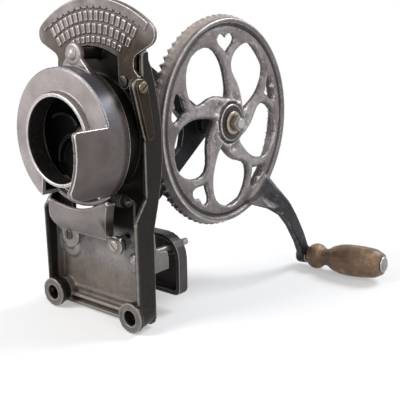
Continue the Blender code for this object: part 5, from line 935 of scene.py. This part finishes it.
def screw(node, axis, slot_degrees, head_height, material):
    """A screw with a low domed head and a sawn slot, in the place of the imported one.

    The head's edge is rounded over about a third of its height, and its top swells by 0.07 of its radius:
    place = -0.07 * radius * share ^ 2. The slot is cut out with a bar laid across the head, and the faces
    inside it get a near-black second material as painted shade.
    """
    low, high = (np.array(corner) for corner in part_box(node))
    axis = np.array(axis, float)
    middle = (low + high) / 2
    along = int(np.argmax(np.abs(axis)))
    wide = other_two(along)
    radius = (high[wide[0]] - low[wide[0]]) / 2
    face = middle.copy()
    face[along] = high[along] if axis[along] > 0 else low[along]
    length = high[along] - low[along]
    rounding = head_height * 0.35
    shoulder = -rounding * 1.6
    profile = [(SCREW_SHANK, -length + 0.0002), (SCREW_SHANK, -head_height), (radius, -head_height),
               (radius, shoulder)]
    profile += [(radius - rounding * (1 - math.cos(a)), shoulder + rounding * math.sin(a))
                for a in np.linspace(0.3, 1.35, 4)]
    profile += [(radius * share, -radius * 0.07 * share ** 2) for share in (0.75, 0.5, 0.25, 0.05)]
    item = mesh_piece(node + "_turned", *lathe(face, axis, profile, steps=40))
    facing_out(item)
    turn = math.radians(slot_degrees)
    side = np.zeros(3)
    side[wide[0]] = math.cos(turn)
    side[wide[1]] = math.sin(turn)
    over = np.cross(axis, side)
    points, faces = block((-radius * 1.2, -SLOT_WIDE / 2, -SLOT_DEEP), (radius * 1.2, SLOT_WIDE / 2, 0.003))
    bar = mesh_piece("slot_bar", face + points @ np.array((side, over, axis)), faces)
    facing_out(bar)
    cut = item.modifiers.new("slot", "BOOLEAN")
    cut.operation = "DIFFERENCE"
    cut.solver = "EXACT"
    cut.object = bar
    settle(item)
    bpy.data.objects.remove(bar)
    crisp(item)
    # The faces inside the slot take the near-black second material: painted shade.
    centres = np.empty(len(item.data.polygons) * 3)
    item.data.polygons.foreach_get("center", centres)
    offset = centres.reshape(-1, 3) - face
    level = offset @ axis
    sunk = (np.abs(offset @ over) < SLOT_WIDE * 0.51) & between(level, -SLOT_DEEP * 1.01, -radius * 0.07)
    item.data.materials.clear()
    item.data.materials.append(material)
    item.data.materials.append(slot_painted_shade)
    item.data.polygons.foreach_set("material_index", sunk.astype(np.int32))
    return item


for node, axis, turn, head, paint, slot in (
        ("apron_screw_left", FORWARD, 85.0, 0.0020, dark_steel, "dark_steel"),
        ("apron_screw_right", FORWARD, -42.0, 0.0020, bright_steel, "bright_steel"),
        ("crest_screw_left", FORWARD, 20.0, 0.0016, dark_steel, "dark_steel"),
        ("crest_screw_right", FORWARD, 130.0, 0.0016, dark_steel, "dark_steel"),
        ("strap_screw", TO_CRANK, 35.0, 0.0026, strap_steel, "dark_steel")):
    dress(screw(node, axis, turn, head, paint), "frame", paint, slot, node)


# Round-headed bolts: the pivot bolt and the two clamp bolts, forged from rod and rubbed pale.
# Each head is a smooth dome, hammered a little flat on top.
PIVOT_HEAD = 0.0034
CLAMP_HEAD = 0.0046
pale_steel = steel("pale_steel", (0.34, 0.335, 0.325), 0.38, (0.12, 0.09, 0.07))


def turned(name, centre, axis, profile, steps, material, body, slot, node, degrees=50.0):
    """A piece from the lathe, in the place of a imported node."""
    item = mesh_piece(name, *lathe(centre, axis, profile, steps))
    crisp(item, degrees)
    dress(item, body, material, slot, node)


def domed(name, centre, axis, radius, height, length, shank, material, body, slot, node):
    """A bolt with a domed head, whose underside is at centre; the shank runs back from it.

    The dome's radius is radius * cos a and its height is height * (0.12 + 0.88 sin a).
    """
    profile = [(shank, -length), (shank, 0.0), (radius * 0.97, 0.0), (radius, height * 0.12)]
    profile += [(radius * math.cos(a), height * (0.12 + 0.88 * math.sin(a)))
                for a in np.linspace(0.0, 1.45, 9)[1:]]
    turned(name, centre, axis, profile, 44, material, body, slot, node)


pivot_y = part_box("throat_pivot_bolt")[0][1] + PIVOT_HEAD
domed("pivot_bolt_turned", (LUG_X, pivot_y, LUG_Z), FORWARD, 0.0056, PIVOT_HEAD, 0.047, 0.0030,
      throat_iron, "frame", "dark_steel", "throat_pivot_bolt")
for label, side in (("left", -1.0), ("right", 1.0)):
    node = f"clamp_bolt_{label}"
    low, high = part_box(node)
    domed(f"clamp_bolt_{label}_turned", (side * CLAMP_X, low[1] + CLAMP_HEAD, CLAMP_Z), FORWARD, 0.0070,
          CLAMP_HEAD, high[1] - low[1] - 0.0048, 0.0039, pale_steel, "frame", "bright_steel", node)


# Nuts, the washer and the axle: plain turned and milled steel, with broken corners.
# The axle's own end shows through its square nut as a rubbed stud.
TO_BACK = (0.0, 1.0, 0.0)
CHAMFER = 0.0006


def milled(node, sides, axis, material, body, slot, turn=0.0):
    """A nut of so many sides, with chamfered corners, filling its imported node's box."""
    low, high = (np.array(corner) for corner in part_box(node))
    along = int(np.argmax(np.abs(np.array(axis))))
    middle = (low + high) / 2
    half = (high[along] - low[along]) / 2
    others = other_two(along)
    across_corners = max(high[others] - low[others]) / 2
    points, faces = lathe(middle, axis, [
        (across_corners * 0.93, -half), (across_corners, CHAMFER - half),
        (across_corners, half - CHAMFER), (across_corners * 0.93, half)], steps=sides)
    offset = points - middle
    c, s = math.cos(turn), math.sin(turn)
    offset[:, others] = offset[:, others] @ np.array(((c, s), (-s, c)))
    item = mesh_piece(node + "_milled", middle + offset, faces)
    edge = item.modifiers.new("edge", "BEVEL")
    edge.width = 0.0005
    edge.segments = 2
    edge.limit_method = "ANGLE"
    settle(item)
    crisp(item, 40.0)
    dress(item, body, material, slot, node)


axle_steel = steel("axle_steel", (0.30, 0.26, 0.215), 0.40, (0.12, 0.08, 0.05))
milled("axle_nut", 4, TO_CRANK, axle_steel, "frame", "dark_steel")
washer_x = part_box("axle_washer")[0][0]
turned("axle_washer_turned", on_axle(washer_x), TO_CRANK, [
    (0.0085, 0.0), (0.0125, 0.0), (0.0130, 0.0005), (0.0130, 0.0017), (0.0122, 0.0024), (0.0085, 0.0024)],
    56, axle_steel, "frame", "bright_steel", "axle_washer")
axle_low, axle_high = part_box("wheel_axle")
axle_end = axle_high[0] - axle_low[0]
turned("wheel_axle_turned", on_axle(axle_low[0]), TO_CRANK, [
    (0.0110, 0.0), (0.0125, 0.0012), (0.0125, 0.0046), (0.0080, 0.0050), (0.0080, 0.0600), (0.0060, 0.0606),
    (0.0060, axle_end - 0.0012), (0.0050, axle_end)], 48, pale_steel, "frame", "bright_steel", "wheel_axle")
milled("throat_pivot_nut", 6, TO_BACK, dark_steel, "frame", "dark_steel")
milled("pinion_nut", 6, TO_BACK, dark_steel, "disc", "dark_steel")
for node in ("clamp_nut_left", "clamp_nut_right"):
    milled(node, 4, TO_BACK, dark_steel, "jaw", "dark_steel", turn=math.radians(45.0))


# Throat spring: a close coil of dark wire between the throat's post and the anchor hook on the plate.
# Its two end loops stand square to the coil.
SPRING_Y = -0.0200
SPRING_Z = 0.0885
COIL_TURNS = 9
COIL_RADIUS = 0.0062
COIL_START = 0.0285
COIL_LENGTH = 0.0215
LOOP_RADIUS = 0.0046
WIRE_RADIUS = 0.00085
share = np.linspace(0.0, 1.0, COIL_TURNS * 24)
angle = math.tau * COIL_TURNS * share
coil = np.stack([COIL_START + COIL_LENGTH * share, SPRING_Y + COIL_RADIUS * np.cos(angle),
                 SPRING_Z + COIL_RADIUS * np.sin(angle)], axis=-1)
wire = [tube(coil, WIRE_RADIUS)]
angle = np.linspace(0.0, math.tau, 20, endpoint=False)
for middle_x, first_way in ((0.0243, 1.0), (0.0545, -1.0)):
    loop = np.stack([middle_x + first_way * LOOP_RADIUS * np.cos(angle), np.full(20, SPRING_Y),
                     SPRING_Z + LOOP_RADIUS * np.sin(angle)], axis=-1)
    wire.append(tube(loop, WIRE_RADIUS, closed=True))
spring = mesh_piece("throat_spring_wound", *joined(wire))
facing_out(spring)
spring.data.shade_smooth()
spring.data.materials.append(steel("spring_steel", (0.050, 0.046, 0.045), 0.38, (0.03, 0.02, 0.015)))
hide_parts("throat_spring")
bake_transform(spring)


# Grip: a turned hardwood handle with a ball next to the arm, lines cut round its neck and a long swell.
# It turns loose on its bolt; the varnish is worn through to yellow-brown on the ball and the far end.
GRIP_AXIS = np.array((0.99691733, 0.0, 0.0784591))
GRIP_START = np.array((0.094, 0.258306, -0.033667)) + GRIP_AXIS * 0.0096
GRIP_LENGTH = 0.0985
TURNED_LINES = (0.0175, 0.0205, 0.0275, 0.0300, 0.0330, 0.0360, 0.0400)
LINE_DEEP = 0.0006
# Radius and place along the grip, in millimetres.
GRIP_PROFILE = np.array((
    (10.5, 0), (14.4, 3), (16.4, 9), (15.2, 15), (11.6, 19.5), (10.2, 24), (12, 29), (15.4, 34), (18.6, 45),
    (19.6, 58), (19.2, 74), (17.6, 90), (13.2, 98.5)), float) / 1000


def grip_wood():
    """Dark varnished wood, grain along the handle, rubbed yellow-brown in patches."""
    material, nodes, links, shader = fresh_material("grip_wood")
    place = nodes.new("ShaderNodeTexCoord")
    stretch = nodes.new("ShaderNodeMapping")
    stretch.inputs["Scale"].default_value = (0.10, 1.0, 1.0)
    links.new(place.outputs["Object"], stretch.inputs["Vector"])

    def noise(scale, detail, source):
        """Noise from the given coordinates."""
        step = nodes.new("ShaderNodeTexNoise")
        give(step, {"Scale": scale, "Detail": detail, "Roughness": 0.65})
        links.new(source, step.inputs["Vector"])
        return step.outputs["Fac"]

    def colours(source, stops):
        """A colour ramp with these stops."""
        ramp = nodes.new("ShaderNodeValToRGB")
        while len(ramp.color_ramp.elements) < len(stops):
            ramp.color_ramp.elements.new(0.5)
        for element, (at, colour) in zip(ramp.color_ramp.elements, stops):
            element.position = at
            element.color = (*colour, 1.0)
        links.new(source, ramp.inputs["Fac"])
        return ramp.outputs["Color"]

    grain = colours(noise(420.0, 5.0, stretch.outputs["Vector"]), (
        (0.30, (0.055, 0.026, 0.013)), (0.50, (0.125, 0.066, 0.036)), (0.72, (0.215, 0.125, 0.070))))
    patch = colours(noise(48.0, 6.0, place.outputs["Object"]), (
        (0.36, (0.09, 0.050, 0.028)), (0.50, (0.19, 0.115, 0.062)), (0.66, (0.52, 0.345, 0.170))))
    mix = nodes.new("ShaderNodeMix")
    mix.data_type = "RGBA"
    mix.inputs["Factor"].default_value = 0.55
    links.new(grain, mix.inputs["A"])
    links.new(patch, mix.inputs["B"])
    links.new(mix.outputs["Result"], shader.inputs["Base Color"])
    gloss = nodes.new("ShaderNodeMapRange")
    give(gloss, {"To Min": 0.30, "To Max": 0.60})
    links.new(noise(60.0, 5.0, place.outputs["Object"]), gloss.inputs["Value"])
    links.new(gloss.outputs["Result"], shader.inputs["Roughness"])
    bump = nodes.new("ShaderNodeBump")
    give(bump, {"Strength": 0.5, "Distance": 0.0003})
    links.new(noise(500.0, 4.0, stretch.outputs["Vector"]), bump.inputs["Height"])
    links.new(bump.outputs["Normal"], shader.inputs["Normal"])
    return material


places = np.linspace(0.0, GRIP_LENGTH, 150)
radii = np.interp(places, GRIP_PROFILE[:, 1], GRIP_PROFILE[:, 0])
radii[5:-5] = np.convolve(radii, np.hanning(11) / np.hanning(11).sum(), mode="valid")
for line_at in TURNED_LINES:
    radii -= LINE_DEEP * np.exp(-((places - line_at) / 0.0006) ** 2)
grip_rows = [(0.0042, 0.0), *zip(radii, places), (0.0075, 0.0990)]
turned("grip_turned", GRIP_START, GRIP_AXIS, grip_rows, 72, grip_wood(), "grip", "grip_wood", "grip", 60.0)
washer_low, washer_high = (np.array(corner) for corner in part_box("grip_washer"))
washer_middle = (washer_low + washer_high) / 2
turned("grip_washer_turned", washer_middle, GRIP_AXIS, [
    (0.0045, -0.0010), (0.0090, -0.0010), (0.0095, -0.0005), (0.0095, 0.0005), (0.0090, 0.0010),
    (0.0045, 0.0010)], 40, dark_steel, "wheel", "dark_steel", "grip_washer")
domed("grip_bolt_turned", GRIP_START + GRIP_AXIS * (GRIP_LENGTH + 0.0010), GRIP_AXIS, 0.0096, 0.0042, 0.1150,
      0.0036, pale_steel, "wheel", "bright_steel", "grip_bolt")


# What stays as packed: the disc's shaft, the bracket's bolts and the spring's anchor hook.
# They are dark steel, turned or bent from rod, and mostly hidden.
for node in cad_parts:
    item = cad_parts[node]
    if not item.hide_render:
        item.data.materials.clear()
        item.data.materials.append(dark_steel)
